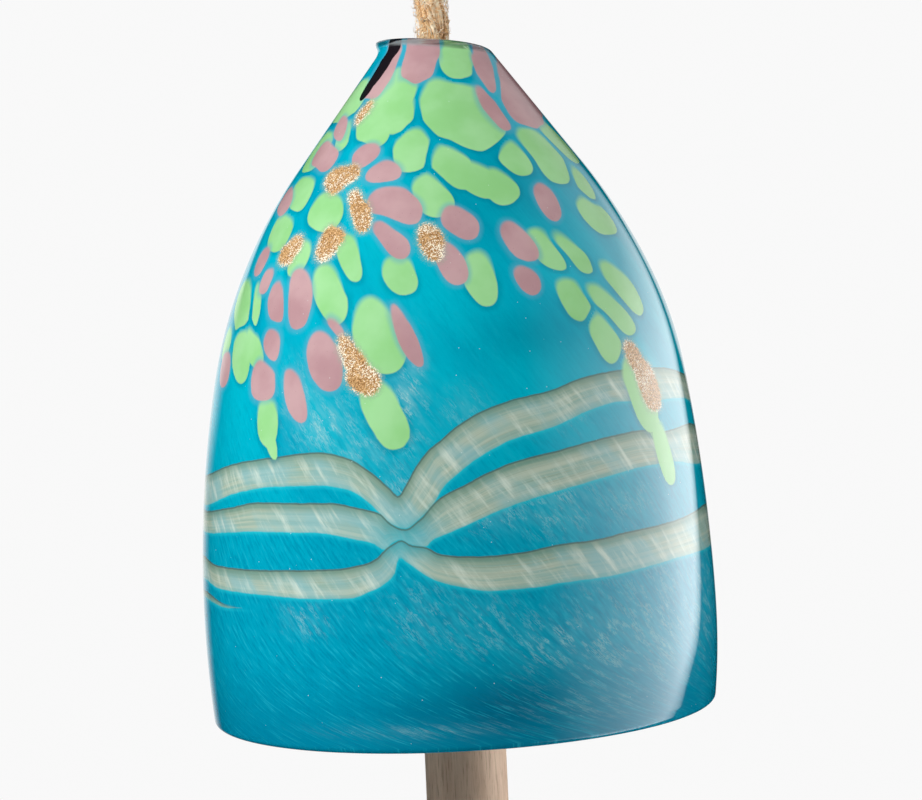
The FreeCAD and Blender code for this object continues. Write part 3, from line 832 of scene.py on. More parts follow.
# %% Free-blown unevenness
skin_angle = np.repeat(column_angle[:, None], rows, axis=1)
depth = sections[:, :, 1]
rightward = np.clip(np.sin(skin_angle), 0, 1) ** 2
leftward = np.clip(-np.sin(skin_angle), 0, 1) ** 2
lip_flare = 0.9 * leftward * np.exp(-(from_lip / 1.5) ** 2)
lip_flare[:, outer_rows:outer_rows + edge_rows * 2 + inner_rows] = 0.0
fuller = (0.95 * np.exp(-((depth + 152) / 24) ** 2)
          + 0.6 * np.exp(-((depth + 68) / 20) ** 2)) * rightward
skin_radius = sections[:, :, 0] + lip_flare + fuller
skin = np.stack([skin_radius * np.sin(skin_angle),
                 -skin_radius * np.cos(skin_angle),
                 depth + neck_height], axis=2)
print("fuller by", round(float(fuller.max()), 2), "mm at most")

# %% [markdown]
# What lies on the glass is placed by where it shows in the camera's frame.
# A line of sight through each place meets the profile, and that gives the
# place as an angle round the bell and a run down its side. Texture painting
# from the camera would smear where the glass turns away. This way every chip
# has its true shape on the glass and looks right from any side.

# %% From the frame to the glass
roll_in, roll_up = math.cos(camera_roll), math.sin(camera_roll)


def onto_glass(u, v):
    """Angle and run where the line of sight through frame places meets the bell."""
    u, v = np.atleast_1d(u).astype(float), np.atleast_1d(v).astype(float)
    right = (u - frame_width / 2) / focal_pixels
    up = (frame_height / 2 - drop_pixels - v) / focal_pixels
    ray = np.stack([right * roll_in - up * roll_up, np.ones_like(u),
                    right * roll_up + up * roll_in], axis=1)
    far = np.linspace(440, 620, 1441)
    place = np.array(camera_place) + ray[:, None, :] * far[None, :, None]
    z = np.clip(place[:, :, 2] - neck_height, lowest + 0.1, highest - 0.1)
    room = np.hypot(place[:, :, 0], place[:, :, 1]) - outside_radius(z)
    touched = room < 0
    hit = np.where(touched.any(axis=1), touched.argmax(axis=1), room.argmin(axis=1))
    pick = np.arange(len(u))
    at = place[pick, hit]
    return np.arctan2(at[:, 0], -at[:, 1]), run_at(z[pick, hit])


test_angle, test_run = onto_glass([461, 205, 710], [340, 500, 600])
print("frame places at", np.degrees(test_angle).round(1), test_run.round(1))

# %% [markdown]
# Chips of green, pink and gold-flecked glass were picked up on the bubble and
# melted in, and blowing stretched them downwards. Each one is written as the
# place, length, breadth and tilt that it shows, in pixels and degrees, and
# those that ran together as one list. Noise could scatter chips too, but no
# noise puts them where they are on this bell.

# %% Chips of coloured glass
green_chips = [
    (456, 58, 54, 34, 0), (461, 112, 98, 62, 58),
    [(388, 103, 84, 42, -36), (371, 126, 40, 36, 15), (402, 116, 48, 30, -20)],
    (411, 148, 50, 40, 0), (432, 194, 50, 37, 40),
    [(452, 167, 56, 37, 52), (477, 179, 44, 32, 62), (499, 186, 46, 28, 52)],
    (517, 158, 44, 28, 50), (545, 155, 74, 28, 45),
    (558, 141, 60, 10, 42), (583, 185, 50, 11, 36), (597, 215, 52, 21, 42),
    (351, 102, 56, 14, -36), (343, 135, 36, 13, -25), (318, 152, 54, 13, -34),
    (300, 193, 42, 20, -26), (325, 212, 42, 34, -35), (280, 232, 42, 20, -22),
    (349, 258, 50, 24, 12), (400, 276, 42, 33, 25), (331, 293, 62, 32, 12),
    (377, 337, 80, 46, 18), (383, 413, 78, 38, 22), (242, 306, 54, 15, -10),
    (256, 306, 50, 9, -6), [(241, 353, 58, 18, -5), (253, 346, 44, 15, 8)],
    [(267, 420, 50, 20, 2), (272, 444, 32, 9, 12)], (227, 343, 36, 6, -12),
    (299, 260, 42, 16, -26), (481, 278, 56, 32, 20), (548, 250, 56, 24, 42),
    (571, 253, 56, 17, 44), (622, 287, 68, 18, 38), (574, 300, 56, 26, 36),
    (604, 337, 60, 26, 28), (611, 309, 70, 20, 44),
    [(640, 392, 84, 24, 22), (664, 452, 66, 15, 14)]]
pink_chips = [
    (386, 69, 70, 18, -31), (419, 54, 58, 38, -18), (487, 70, 56, 20, 22),
    (492, 107, 56, 16, 34), (519, 92, 80, 25, 33), (340, 130, 30, 12, -20),
    (325, 155, 34, 20, -30), (365, 156, 30, 22, -45), (382, 173, 38, 25, -75),
    (394, 204, 56, 38, 70), (391, 237, 48, 23, 42), (459, 223, 40, 30, 60),
    (450, 261, 48, 27, 28), (518, 243, 50, 25, 38), (547, 201, 44, 17, 36),
    (528, 278, 36, 20, 38), (285, 202, 30, 10, -28), (262, 262, 32, 9, -22),
    (266, 281, 28, 12, -15), (276, 303, 44, 19, -4), (298, 298, 62, 25, 0),
    (335, 329, 26, 12, 35), (406, 334, 70, 16, 24), (325, 360, 64, 33, 12),
    (272, 345, 40, 16, 0), (263, 381, 44, 24, 0), (295, 395, 58, 19, 16),
    (225, 369, 36, 9, -6)]
gold_chips = [
    [(338, 179, 32, 20, -42), (347, 175, 26, 16, -60)],
    [(357, 208, 38, 18, 12), (361, 216, 32, 16, 0)],
    [(327, 244, 38, 20, -25), (334, 238, 26, 16, -50)],
    [(290, 250, 32, 14, -35), (287, 254, 22, 13, 0)],
    [(431, 243, 38, 23, 12), (434, 238, 26, 20, 40)],
    [(350, 355, 38, 17, 22), (357, 370, 50, 25, 22), (361, 379, 36, 28, 60)],
    [(637, 363, 46, 15, 24), (647, 384, 56, 20, 18)], (364, 112, 30, 8, -35)]
# Painted shade: a streak of clear glass whose dark inside is painted on as a near-black
# colour.
painted_dark_streak = [(392, 52, 44, 9, -33), (382, 68, 50, 8.5, -33), (371, 84, 40, 6.5, -34)]
print("chips seen", len(green_chips), len(pink_chips), len(gold_chips))

# %% [markdown]
# A chip's shape on the glass is a stretched round, so its place in the frame
# and four places beside it say how the glass turns away there. A chip is kept
# as its middle and the matrix that makes it a plain round again. The side that
# isn't seen gets a scatter of the same kinds, from a fixed seed so that it
# comes out the same each time.

# %% Laying chips on the glass
probe = 3                              # pixels to each of the four places


def around(u, v):
    """Angle and run of a frame place, of two beside it and two above and below."""
    return onto_glass([u, u + probe, u - probe, u, u],
                      [v, v, v, v + probe, v - probe])


def unstretched(long, short, tilt):
    turn = math.radians(tilt)
    axes = np.array([[math.cos(turn), math.sin(turn)],
                     [-math.sin(turn), math.cos(turn)]])
    return np.diag([2 / short, 2 / long]) @ axes.T


def laid_flat(u, v, long, short, tilt):
    angle, run = around(u, v)
    radius = float(outside_radius(height_at(run[0])))
    wide = np.array([(angle[1] - angle[2]) * radius, run[1] - run[2]]) / (2 * probe)
    down = np.array([(angle[3] - angle[4]) * radius, run[3] - run[4]]) / (2 * probe)
    to_glass = np.stack([wide, down], axis=1)
    if abs(np.linalg.det(to_glass)) < 0.02:          # seen too nearly edge-on
        to_glass = np.eye(2) * 0.25
    return angle[0], run[0], unstretched(long, short, tilt) @ np.linalg.inv(to_glass)


def seen(chips):
    return [[laid_flat(*one) for one in (chip if isinstance(chip, list) else [chip])]
            for chip in chips]


chance = np.random.default_rng(41)


def scattered(count, low, high, length, breadth):
    """Chips on the side that isn't seen, between two runs down the bell."""
    made = []
    for _ in range(count):
        angle = math.radians(chance.uniform(84, 276))
        run = chance.uniform(low, high)
        tilt = chance.uniform(-12, 38)
        long = chance.uniform(*length) * (0.8 + 0.4 * run / 120)
        made.append([(angle, run, unstretched(long, chance.uniform(*breadth), tilt))])
    return made


print("one pixel is", round(float(np.diff(onto_glass([461, 462], [340, 340])[0])[0]
                                  * 60), 3), "mm at the flank")

# %% [markdown]
# Every point of the skin learns how deep it lies in the nearest chip of each
# colour. A painted mask would blur when seen close, while a depth in
# millimetres lets the material draw a crisp edge or a soft one. Chips aren't
# quite ellipses, their outline wobbles a little, and where two of one colour
# meet a thin line of the bubble stays between them.

# %% How deep each point lies in a chip
round_radius = outside_radius(height_at(runs))
wobble = (np.sin(skin_angle * 19 + runs * 0.27)
          + np.sin(skin_angle * 27 - runs * 0.38 + 1.7)) * 0.26
square = 2.3             # 2 would make every chip an ellipse, more squares it
outside = -9.0           # a depth that stands for well outside a chip


def turned_from(angle):
    """How far each point of the skin is turned from an angle, either way."""
    return (skin_angle - angle + math.pi) % math.tau - math.pi


def soft_least(one, other, blend):
    """The smaller of two distances, with the corner between them rounded."""
    corner = np.clip(blend - np.abs(one - other), 0, None) / blend
    return np.minimum(one, other) - corner ** 2 * blend / 4


def depth_in(angle, run, stretch):
    """Distance inside one round in mm, and how high in it, 0 to 1."""
    x = turned_from(angle) * 0.5 * (round_radius
                                    + float(outside_radius(height_at(run))))
    y = runs - run
    a = stretch[0, 0] * x + stretch[0, 1] * y
    e = stretch[1, 0] * x + stretch[1, 1] * y
    size = (np.abs(a) ** square + np.abs(e) ** square) ** (1 / square) + 1e-6
    a = np.sign(a) * (np.abs(a) / size) ** (square - 1)
    e = np.sign(e) * (np.abs(e) / size) ** (square - 1)
    slope = np.hypot(stretch[0, 0] * a + stretch[1, 0] * e,
                     stretch[0, 1] * a + stretch[1, 1] * e) + 1e-6
    tall = np.hypot(*np.linalg.inv(stretch)[1])
    return (1 - size) / slope, np.clip(0.5 - y / (2 * tall), 0, 1)


def chip_field(chips, gap=0.72, uneven=1.0):
    """Distance inside the nearest chip in mm, and how high in it, 0 to 1."""
    best = second = np.full(runs.shape, outside)
    high = np.zeros(runs.shape)
    for parts in chips:
        whole, level = np.full(runs.shape, outside), np.zeros(runs.shape)
        for part in parts:
            inside, part_level = depth_in(*part)
            inside = inside + wobble * uneven
            near = inside > whole
            whole = np.where(near, inside, whole)
            level = np.where(near, part_level, level)
        near = whole > best
        second = np.where(near, best, np.maximum(second, whole))
        best = np.where(near, whole, best)
        high = np.where(near, level, high)
    between = (best - second) * 0.5 - gap
    return np.maximum(soft_least(best, between, 1.6), outside), high


fields = {}
for name, chips, uneven in (
        ("green", seen(green_chips) + scattered(34, 6, 118, (11, 19), (6, 11)), 1.0),
        ("pink", seen(pink_chips) + scattered(26, 6, 110, (9, 16), (4, 8)), 1.0),
        ("gold", seen(gold_chips) + scattered(9, 30, 100, (9, 14), (5, 8)), 1.0),
        ("clear", seen([painted_dark_streak]), 0.0)):
    fields[name + "_in"], fields[name + "_high"] = chip_field(chips, uneven=uneven)
    covered = float((fields[name + "_in"] > 0).mean())
    print(name, "lies on", round(100 * covered, 1), "% of the skin")

# %% [markdown]
# Three trails of clouded glass were wound round the hot flank and combed: a
# hook drawn down and then up pulls them into a pinch. Each trail is written
# by its upper and lower edge where they show, with how far the combings at the
# back draw it. Waves from a formula would be too even for a hand with a hook.

# %% Combed trails
trail_edges = [
    ([(205, 476), (246, 462), (274, 458), (318, 453), (347, 459), (372, 474),
      (389, 489), (398, 497), (406, 486), (418, 465), (432, 448), (440, 442),
      (458, 426), (486, 410), (514, 400), (551, 391), (580, 379), (617, 371),
      (653, 368), (680, 373)],
     [(205, 505), (246, 491), (274, 487), (322, 486), (347, 490), (364, 499),
      (379, 513), (391, 524), (405, 529), (420, 519), (432, 506), (445, 486),
      (460, 472), (477, 459), (514, 439), (551, 428), (588, 411), (617, 402),
      (643, 401), (680, 398)], 14.0),
    ([(205, 511), (232, 508), (259, 503), (330, 504), (364, 510), (379, 514),
      (391, 525), (405, 530), (420, 520), (432, 507), (440, 499), (468, 484),
      (495, 470), (523, 460), (551, 453), (580, 445), (606, 438), (640, 431),
      (662, 432), (688, 424)],
     [(205, 532), (263, 532), (313, 533), (356, 540), (374, 544), (384, 550),
      (393, 543), (401, 540), (411, 545), (426, 547), (432, 541), (440, 537),
      (468, 525), (501, 510), (532, 499), (569, 488), (606, 477), (643, 467),
      (671, 462), (693, 464)], 3.0),
    ([(205, 557), (217, 566), (246, 570), (290, 571), (335, 570), (364, 565),
      (377, 559), (384, 552), (393, 545), (401, 541), (411, 546), (426, 548),
      (440, 555), (486, 557), (523, 553), (560, 545), (597, 540), (625, 533),
      (653, 527), (680, 519), (704, 505)],
     [(207, 580), (220, 589), (263, 595), (305, 599), (347, 599), (372, 591),
      (394, 575), (400, 558), (406, 562), (432, 579), (455, 586), (495, 591),
      (532, 588), (569, 582), (606, 577), (643, 568), (680, 557), (710, 544)],
     -8.0)]
print("trails", len(trail_edges))

# %% [markdown]
# A trail goes all the way round. Its edges follow a curve that never overshoots
# its points, where a plain spline would ripple at the pinch, and round the back
# they join up again by way of two more combings, about a third of a turn apart.

# %% Carrying a trail round the bell
flank_radius = 60.0
other_combings = (128, 236)            # degrees round the bell


def smooth_through(x, y, at):
    """A curve through points that doesn't overshoot between them."""
    step = np.diff(x)
    slope = np.diff(y) / step
    grade = np.zeros(len(x))
    inner = slope[:-1] * slope[1:] > 0
    a, b = 2 * step[1:] + step[:-1], step[1:] + 2 * step[:-1]
    with np.errstate(divide="ignore", invalid="ignore"):
        mean = (a + b) / (a / slope[:-1] + b / slope[1:])
    grade[1:-1] = np.where(inner, mean, 0.0)
    k = np.clip(np.searchsorted(x, at) - 1, 0, len(step) - 1)
    t = (at - x[k]) / step[k]
    return ((2 * t ** 3 - 3 * t ** 2 + 1) * y[k]
            + (t ** 3 - 2 * t ** 2 + t) * step[k] * grade[k]
            + (-2 * t ** 3 + 3 * t ** 2) * y[k + 1]
            + (t ** 3 - t ** 2) * step[k] * grade[k + 1])


def round_the_bell(edge, dip):
    """The run of an edge at every column, combed again round the back."""
    angle, run = onto_glass(*zip(*edge))
    order = np.argsort(angle)
    angle, run = np.degrees(angle[order]), run[order]
    keep = np.concatenate([[True], np.diff(angle) > 0.4])
    angle, run = angle[keep], run[keep]
    once_round = angle[0] + 360
    far = np.arange(angle[-1] + 9, once_round - 8, 9.0)
    share = (far - angle[-1]) / (once_round - angle[-1])
    level = run[-1] * (1 - share) + run[0] * share
    for comb in other_combings:
        level = level + dip * np.exp(-np.abs(far - comb) / 11)
    return smooth_through(np.concatenate([angle, far, [once_round]]),
                          np.concatenate([run, level, [run[0]]]),
                          (column_degrees - angle[0]) % 360 + angle[0])


def steepness(edge):
    """What turns a distance down the bell into one across a sloping edge."""
    rise = np.gradient(np.unwrap(edge), np.unwrap(column_angle)) / flank_radius
    return 1 / np.sqrt(1 + rise ** 2)


trails = [(round_the_bell(upper, dip), round_the_bell(lower, dip))
          for upper, lower, dip in trail_edges]
print("first trail is", (trails[0][1] - trails[0][0]).min().round(1), "to",
      (trails[0][1] - trails[0][0]).max().round(1), "mm broad")

# %% [markdown]
# Below them the wound thread runs out into a thin tail on the left, which is
# one more trail, a millimetre and a half broad at the most. Every point of the
# skin then learns how far below the top and above the foot of each trail it is,
# measured across the trail, so that a line on a steep part isn't drawn thinner
# than on a level one.

# %% How deep each point lies in a trail
tail_upper = round_the_bell([(207, 592), (229, 606), (254, 609), (281, 607),
                             (400, 600), (560, 600), (700, 590)], 0.0)
leftness = np.where(column_degrees > 180, column_degrees - 360, column_degrees)
tail_share = np.clip((-52 - leftness) / 18, -1, 1)
tail_share = np.where((column_degrees > 150) & (column_degrees < 235), -1.0, tail_share)
trails.append((tail_upper, tail_upper + 1.5 * tail_share))
for number, (upper, lower) in enumerate(trails, start=1):
    below_top = (runs - upper[:, None]) * steepness(upper)[:, None]
    above_foot = (lower[:, None] - runs) * steepness(lower)[:, None]
    fields["below_top_%d" % number] = np.clip(below_top, -20, 30)
    fields["above_foot_%d" % number] = np.clip(above_foot, -20, 30)
pinch_angle, pinch_run = onto_glass(402, 541)
fields["pinch"] = np.exp(-(((skin_angle - pinch_angle[0]) * flank_radius / 8) ** 2
                           + ((runs - pinch_run[0]) / 5) ** 2))
print("trails", len(trails), "round", columns, "columns")

# %% [markdown]
# The pale wisps lie in drifts, and in a few places the glass is given a deeper colour,
# which is painted shade. Each is written as the place, breadth and height that it
# shows, and how dense it is.
# These are only soft clouds, so that the material can draw fine threads in
# them, which would need far too many points to keep on the mesh itself.

# %% Drifts of wisps
drifts = [
    (300, 395, 40, 60, 0.5), (325, 425, 60, 44, 0.8), (358, 452, 50, 36, 0.7),
    (408, 400, 30, 90, 0.9), (402, 490, 46, 50, 0.5), (462, 410, 46, 40, 0.25),
    (500, 515, 70, 34, 0.45), (560, 505, 90, 50, 0.6), (630, 500, 60, 50, 0.4),
    (420, 615, 60, 60, 0.35), (480, 625, 80, 56, 0.4), (560, 640, 80, 60, 0.7),
    (610, 640, 90, 100, 0.7), (660, 620, 70, 140, 0.6), (306, 620, 42, 26, 0.55),
    (600, 700, 120, 50, 0.4), (430, 732, 180, 12, 0.4), (700, 600, 24, 120, 0.7),
    (560, 420, 80, 30, 0.2)]
# Painted shade: spots where the glass is given a deeper colour.
painted_shade_spots = [(505, 708, 150, 70, 0.85), (440, 712, 120, 44, 0.5),
          (525, 335, 110, 60, 0.35), (500, 190, 130, 100, 0.36)]


def field_of(places):
    """How far each point of the skin lies in the nearest of the places."""
    found = np.zeros(runs.shape)
    for u, v, wide, high, dense in places:
        angle, run = around(u, v)
        half_wide = abs(angle[1] - angle[2]) * flank_radius / (2 * probe) * wide / 2
        half_high = abs(run[3] - run[4]) / (2 * probe) * high / 2
        aside = turned_from(angle[0]) * flank_radius / max(half_wide, 1.0)
        along = (runs - run[0]) / max(half_high, 1.0)
        found = np.maximum(found, dense * np.exp(-(aside ** 2 + along ** 2)))
    return found


unseen = np.clip((np.cos(skin_angle - math.pi) - 0.05) / 0.3, 0, 1)
fields["painted_shade"] = field_of(painted_shade_spots)
fields["wispy"] = np.maximum(
    field_of(drifts), 0.6 * unseen * np.clip((runs - 70) / 40, 0, 1)
    * np.clip(0.5 + np.sin(skin_angle * 5 + runs * 0.11), 0, 1))
print("drifts", len(drifts), "densest", round(float(fields["wispy"].max()), 2))

# %% [markdown]
# The outside, the lip and the inside are one mesh. Each point keeps how deep
# it lies in a chip or a trail, and where it is on a cylinder that is twisted
# the way the bell was swung, which the wisps in the glass follow. Image
# textures would need the bell unwrapped. Values on the points need nothing
# but an Attribute node.

# %% Bell mesh
row = np.arange(rows)
first = np.arange(columns)[:, None] * rows + row
beside = (np.arange(columns) + 1)[:, None] % columns * rows + row
quads = np.stack([first, np.roll(first, -1, axis=1), np.roll(beside, -1, axis=1),
                  beside], axis=2).reshape(-1, 4)
bell_mesh = bpy.data.meshes.new("wind_bell")
bell_mesh.from_pydata((skin.reshape(-1, 3) * MM).tolist(), [], quads.tolist())
bell_mesh.polygons.foreach_set("use_smooth", [True] * len(quads))
inner_side = np.zeros((columns, rows))
inner_side[:, outer_rows + 3:rows - 3] = 1.0
fields.update({"inner_side": inner_side, "run": runs, "from_lip": from_lip})
step_run = np.linspace(0, 200, 401)
twist = 0.012 + 0.035 * np.clip((step_run - 145) / 30, 0, 1) ** 2
lag = np.concatenate([[0], np.cumsum(twist[:-1] * 0.5)])
swirl = skin_angle - np.interp(runs, step_run, lag)
swirl_place = np.stack([np.cos(swirl) * flank_radius, np.sin(swirl) * flank_radius,
                        runs], axis=2)


def keep_on(mesh, name, kind, key, values):
    layer = mesh.attributes.new(name, kind, "POINT")
    layer.data.foreach_set(key, values.reshape(-1).astype(np.float32))


for name, field in fields.items():
    keep_on(bell_mesh, name, "FLOAT", "value", field)
keep_on(bell_mesh, "swirl", "FLOAT_VECTOR", "vector", swirl_place)
bell_mesh.update()
bell = bpy.data.objects.new("wind_bell", bell_mesh)
bpy.context.scene.collection.objects.link(bell)
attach(bell, "bell")
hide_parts("glass_bell")
print("bell", len(bell_mesh.vertices), "points", len(quads), "faces")

# %% [markdown]
# The glass itself: a cloudy turquoise under a clear, wet-looking gloss, paler at the
# shoulder and darkened towards the rim, which is painted shade. Real light paths
# through coloured glass would be slow and noisy, so the colour is on the surface, as it
# looks from outside. Its cloudiness is noise drawn out along the swirl, as the gather
# was when it was blown and swung.

# %% Body of the glass
glass, b = shader("turquoise_glass")
swirl_at = attribute(b, "swirl", "Vector")
place = b.add("ShaderNodeTexCoord", out="Object")
run_down = attribute(b, "run")


def stretched(vector, *sizes):
    return b.vector("MULTIPLY", vector, sizes)


def drawn_noise(across, along, detail, roughness=0.5, offset=(0, 0, 0)):
    """Noise that is drawn out along the swirl."""
    at = b.vector("ADD", stretched(swirl_at, across, across, along), offset)
    return noise(b, at, 1.0, detail, roughness)


cloud = drawn_noise(0.05, 0.02, 3.0)
body = tint(b, srgb(0, 182, 204), ramp(b, cloud, 0.35, 0.68, 0.0, 1.0), 0, 163, 190)
# Painted shade: the colour is darkened towards the rim, in two steps.
body = tint(b, body, ramp(b, run_down, 90.0, 150.0, 0.0, 0.8), 0, 150, 180)
body = tint(b, body, ramp(b, run_down, 152.0, 178.0, 0.0, 0.8), 0, 124, 154)
# Painted shade: a deeper teal in the painted shade spots.
body = tint(b, body, attribute(b, "painted_shade"), 0, 92, 124)
grain = drawn_noise(1.3, 0.3, 3.0, 0.6)
grainy = ramp(b, run_down, 90.0, 140.0, 0.25, 1.0)
body = tint(b, body, b.times(ramp(b, grain, 0.48, 0.66, 0.0, 0.45), grainy),
            0, 122, 156)
body = tint(b, body, b.times(ramp(b, grain, 0.47, 0.3, 0.0, 0.4), grainy),
            40, 184, 206)
print("body of the glass", len(glass.node_tree.nodes), "nodes")

# %% [markdown]
# Pale wisps are caught in it where the drifts are: a soft haze with fine
# threads. Drawn threads would all end somewhere. The line on which a noise
# crosses its middle value branches and closes by itself, as smoke does.

# %% Wisps


def filaments(across, along, offset, width):
    """Thin branching lines, drawn out along the swirl."""
    value = drawn_noise(across, along, 3.0, 0.6, offset)
    return ramp(b, b.maths("ABSOLUTE", b.minus(value, 0.5)), 0.0, width, 1.0, 0.0)


wispy_at = attribute(b, "wispy")
haze = drawn_noise(0.5, 0.2, 4.0, 0.6)
broken = ramp(b, drawn_noise(0.45, 0.3, 2.0, offset=(7.0, 3.0, 5.0)),
              0.46, 0.6, 0.0, 1.0)
threads = b.maths("MAXIMUM", filaments(0.7, 0.22, (0, 0, 0), 0.035),
                  filaments(1.5, 0.4, (4.0, 9.0, 2.0), 0.05))
cloudy_here = b.times(wispy_at, ramp(b, run_down, 118.0, 136.0, 1.0, 0.5))
body = tint(b, body, b.times(cloudy_here, ramp(b, haze, 0.36, 0.66, 0.08, 0.62)),
            124, 196, 206)
body = tint(b, body, b.times(b.times(threads, broken), b.times(wispy_at, 0.7)),
            176, 214, 210)
print("with wisps", len(glass.node_tree.nodes), "nodes")

# %% [markdown]
# A trail is greenish and clouded, darker along its upper edge, with a fine
# brown line on the edge itself and a glow of clear blue under its lower edge.
# Where the trails pinch together they fade into the bubble. One loop lays all
# of them over the glass, because they differ in their place only.

# %% Trails in the glass
ripple = b.times(b.minus(noise(b, place, 300.0, 2.0), 0.5), 0.35)
swirl_x, swirl_y = (b.times(b.add("ShaderNodeSeparateXYZ", {0: swirl_at}, out=axis),
                            0.02) for axis in (0, 1))
streak = drawn_noise(0.44, 0.09, 4.0, 0.62)
thin_here = ramp(b, drawn_noise(0.07, 0.07, 3.0), 0.42, 0.62, 0.0, 0.6)
faded = b.minus(1.0, b.times(attribute(b, "pinch"), 0.6))
for number in range(1, len(trails) + 1):
    below = attribute(b, "below_top_%d" % number)
    above = attribute(b, "above_foot_%d" % number)
    inside = b.plus(b.maths("MINIMUM", below, above), ripple)
    across_it = b.divided(below, b.maths("MAXIMUM", b.plus(below, above), 0.8))
    drawn = b.add("ShaderNodeCombineXYZ", {
        0: b.plus(b.times(across_it, 7.0), 11.3 * number), 1: swirl_x, 2: swirl_y})
    broad = noise(b, drawn, 1.0, 5.0, 0.62)
    fine = noise(b, stretched(drawn, 6.0, 1.4, 1.4), 1.0, 2.0)
    cloudy = tint(b, srgb(148, 176, 160), ramp(b, broad, 0.32, 0.66, 0.0, 1.0),
                  188, 196, 174)
    cloudy = tint(b, cloudy, ramp(b, fine, 0.52, 0.7, 0.0, 0.4), 150, 154, 122)
    cloudy = tint(b, cloudy, thin_here, 138, 190, 196)
    cloudy = tint(b, cloudy, ramp(b, streak, 0.46, 0.74, 0.0, 0.8), 224, 232, 216)
    cloudy = tint(b, cloudy, ramp(b, below, 0.0, 3.0, 0.75, 0.0), 100, 132, 108)
    cloudy = tint(b, cloudy, ramp(b, above, 0.0, 1.3, 0.4, 0.0), 110, 180, 176)
    glow = b.times(ramp(b, above, -1.1, 0.1, 0.0, 0.5),
                   ramp(b, below, 0.0, 1.0, 0.0, 1.0))
    body = tint(b, body, glow, 40, 200, 214)
    body = mix(b, b.times(ramp(b, inside, -0.12, 0.3, 0.0, 0.92), faded),
               body, cloudy)
    from_edge = b.maths("ABSOLUTE", b.plus(below, ripple))
    body = tint(b, body, b.times(ramp(b, from_edge, 0.05, 0.34, 0.7, 0.0),
                                 ramp(b, above, 0.2, 1.2, 0.0, 1.0)), 92, 92, 56)
print("with trails", len(glass.node_tree.nodes), "nodes")

# %% [markdown]
# The chips lie in the glass with a soft upper edge and a crisp lower one. The pink ones
# have a paler halo and dark specks. The green ones have a darker edge, mostly along
# their lower side, which is painted shadow. The gold ones are full of bright flakes and
# ragged at the edge. One streak on the left of the neck was left clear. The dark inside
# that would show through it is painted on as a near-black colour, which is painted
# shade. The flakes are cells of a Voronoi texture, each with a brightness of its own,
# and these brightnesses are painted glints and painted dark faces of the foil. Real
# foil would be thousands of tiny faces.

# %% Chips in the glass
chip_ripple = b.times(b.minus(noise(b, place, 190.0, 2.0), 0.5), 0.5)


def chip(body, name, colour, crisp, soft, halo=None, edge=None, ragged=0.0):
    """The body with one kind of chip in it: crisp below, soft above."""
    depth = b.plus(attribute(b, name + "_in"), b.plus(chip_ripple, ragged))
    high = attribute(b, name + "_high")
    if halo:
        body = tint(b, body, ramp(b, depth, -1.6, 0.1, 0.0, 0.5), *halo)
    # Painted shadow: the edge colour is a dark teal just outside the chip, mostly on
    # its lower side.
    if edge:
        body = tint(b, body, b.times(ramp(b, depth, -1.6, 0.0, 0.0, 0.42),
                                     ramp(b, high, 0.35, 0.75, 1.0, 0.15)), *edge)
    width = ramp(b, high, 0.45, 1.0, crisp, soft)
    share = ramp(b, b.divided(depth, width), -0.5, 0.5, 0.0, 1.0)
    return mix(b, b.times(share, 0.98), body, colour)


mottled = ramp(b, noise(b, place, 90.0, 3.0), 0.3, 0.7, 0.0, 1.0)
green = tint(b, srgb(150, 214, 138), mottled, 166, 224, 158)
# The green chips' dark teal edge is a painted shadow along their lower side.
body = chip(body, "green", green, 0.35, 1.9, edge=(0, 120, 142))
speck = b.add("ShaderNodeTexVoronoi", {"Vector": place, "Scale": 900.0},
              out="Distance")
pink = tint(b, srgb(186, 144, 148), mottled, 202, 164, 166)
pink = tint(b, pink, ramp(b, speck, 0.05, 0.1, 0.4, 0.0), 136, 90, 100)
body = chip(body, "pink", pink, 0.35, 1.0, halo=(96, 168, 194))
flake = b.add("ShaderNodeTexVoronoi", {"Vector": place, "Scale": 4600.0}, out="Color")
flake = b.add("ShaderNodeSeparateColor", {0: flake}, out=0)
# Painted glints: each flake is lit or dark by its own cell value, standing in for foil
# that catches the light or turns it away.
gold = tint(b, srgb(168, 120, 70), ramp(b, flake, 0.1, 0.9, 0.0, 1.0), 228, 184, 128)
flake_glint = b.plus(flake, b.times(b.minus(noise(b, place, 170.0, 2.0), 0.5), 1.6))
gold = tint(b, gold, ramp(b, flake_glint, 0.72, 0.92, 0.0, 1.0), 255, 246, 224)
gold = tint(b, gold, ramp(b, flake_glint, 0.25, 0.0, 0.0, 0.5), 124, 84, 48)
body = chip(body, "gold", gold, 0.6, 1.0, halo=(150, 170, 150),
            ragged=b.minus(flake, 0.5))
# Painted shade: the dark inside that would show through the clear streak, as a
# near-black colour.
body = chip(body, "clear", srgb(6, 10, 18), 0.3, 0.3)
print("with chips", len(glass.node_tree.nodes), "nodes")

# %% [markdown]
# Tiny seeds of air are caught all through the glass, one in each cell of a Voronoi
# texture. The fire-polished lip is partly clear and shows fine pale and dark lines
# round it, which are noise pressed flat. The pale lines are painted highlights. The lip
# could be a piece of its own, but then a seam would show, so one shader does for the
# whole bell and lets light through only there.

# %% Seeds, inside and lip
seeds = b.add("ShaderNodeTexVoronoi", {"Vector": place, "Scale": 330.0},
              out="Distance")
body = tint(b, body, ramp(b, seeds, 0.02, 0.05, 0.6, 0.0), 225, 240, 240)
body = tint(b, body, b.times(attribute(b, "inner_side"), 0.85), 60, 170, 192)
lip_glint_and_dark_lines = noise(b, stretched(place, 70.0, 70.0, 1300.0), 1.0, 3.0, 0.6)
past_lip = attribute(b, "from_lip")
lip_near = ramp(b, past_lip, 0.3, 1.4, 1.0, 0.0)
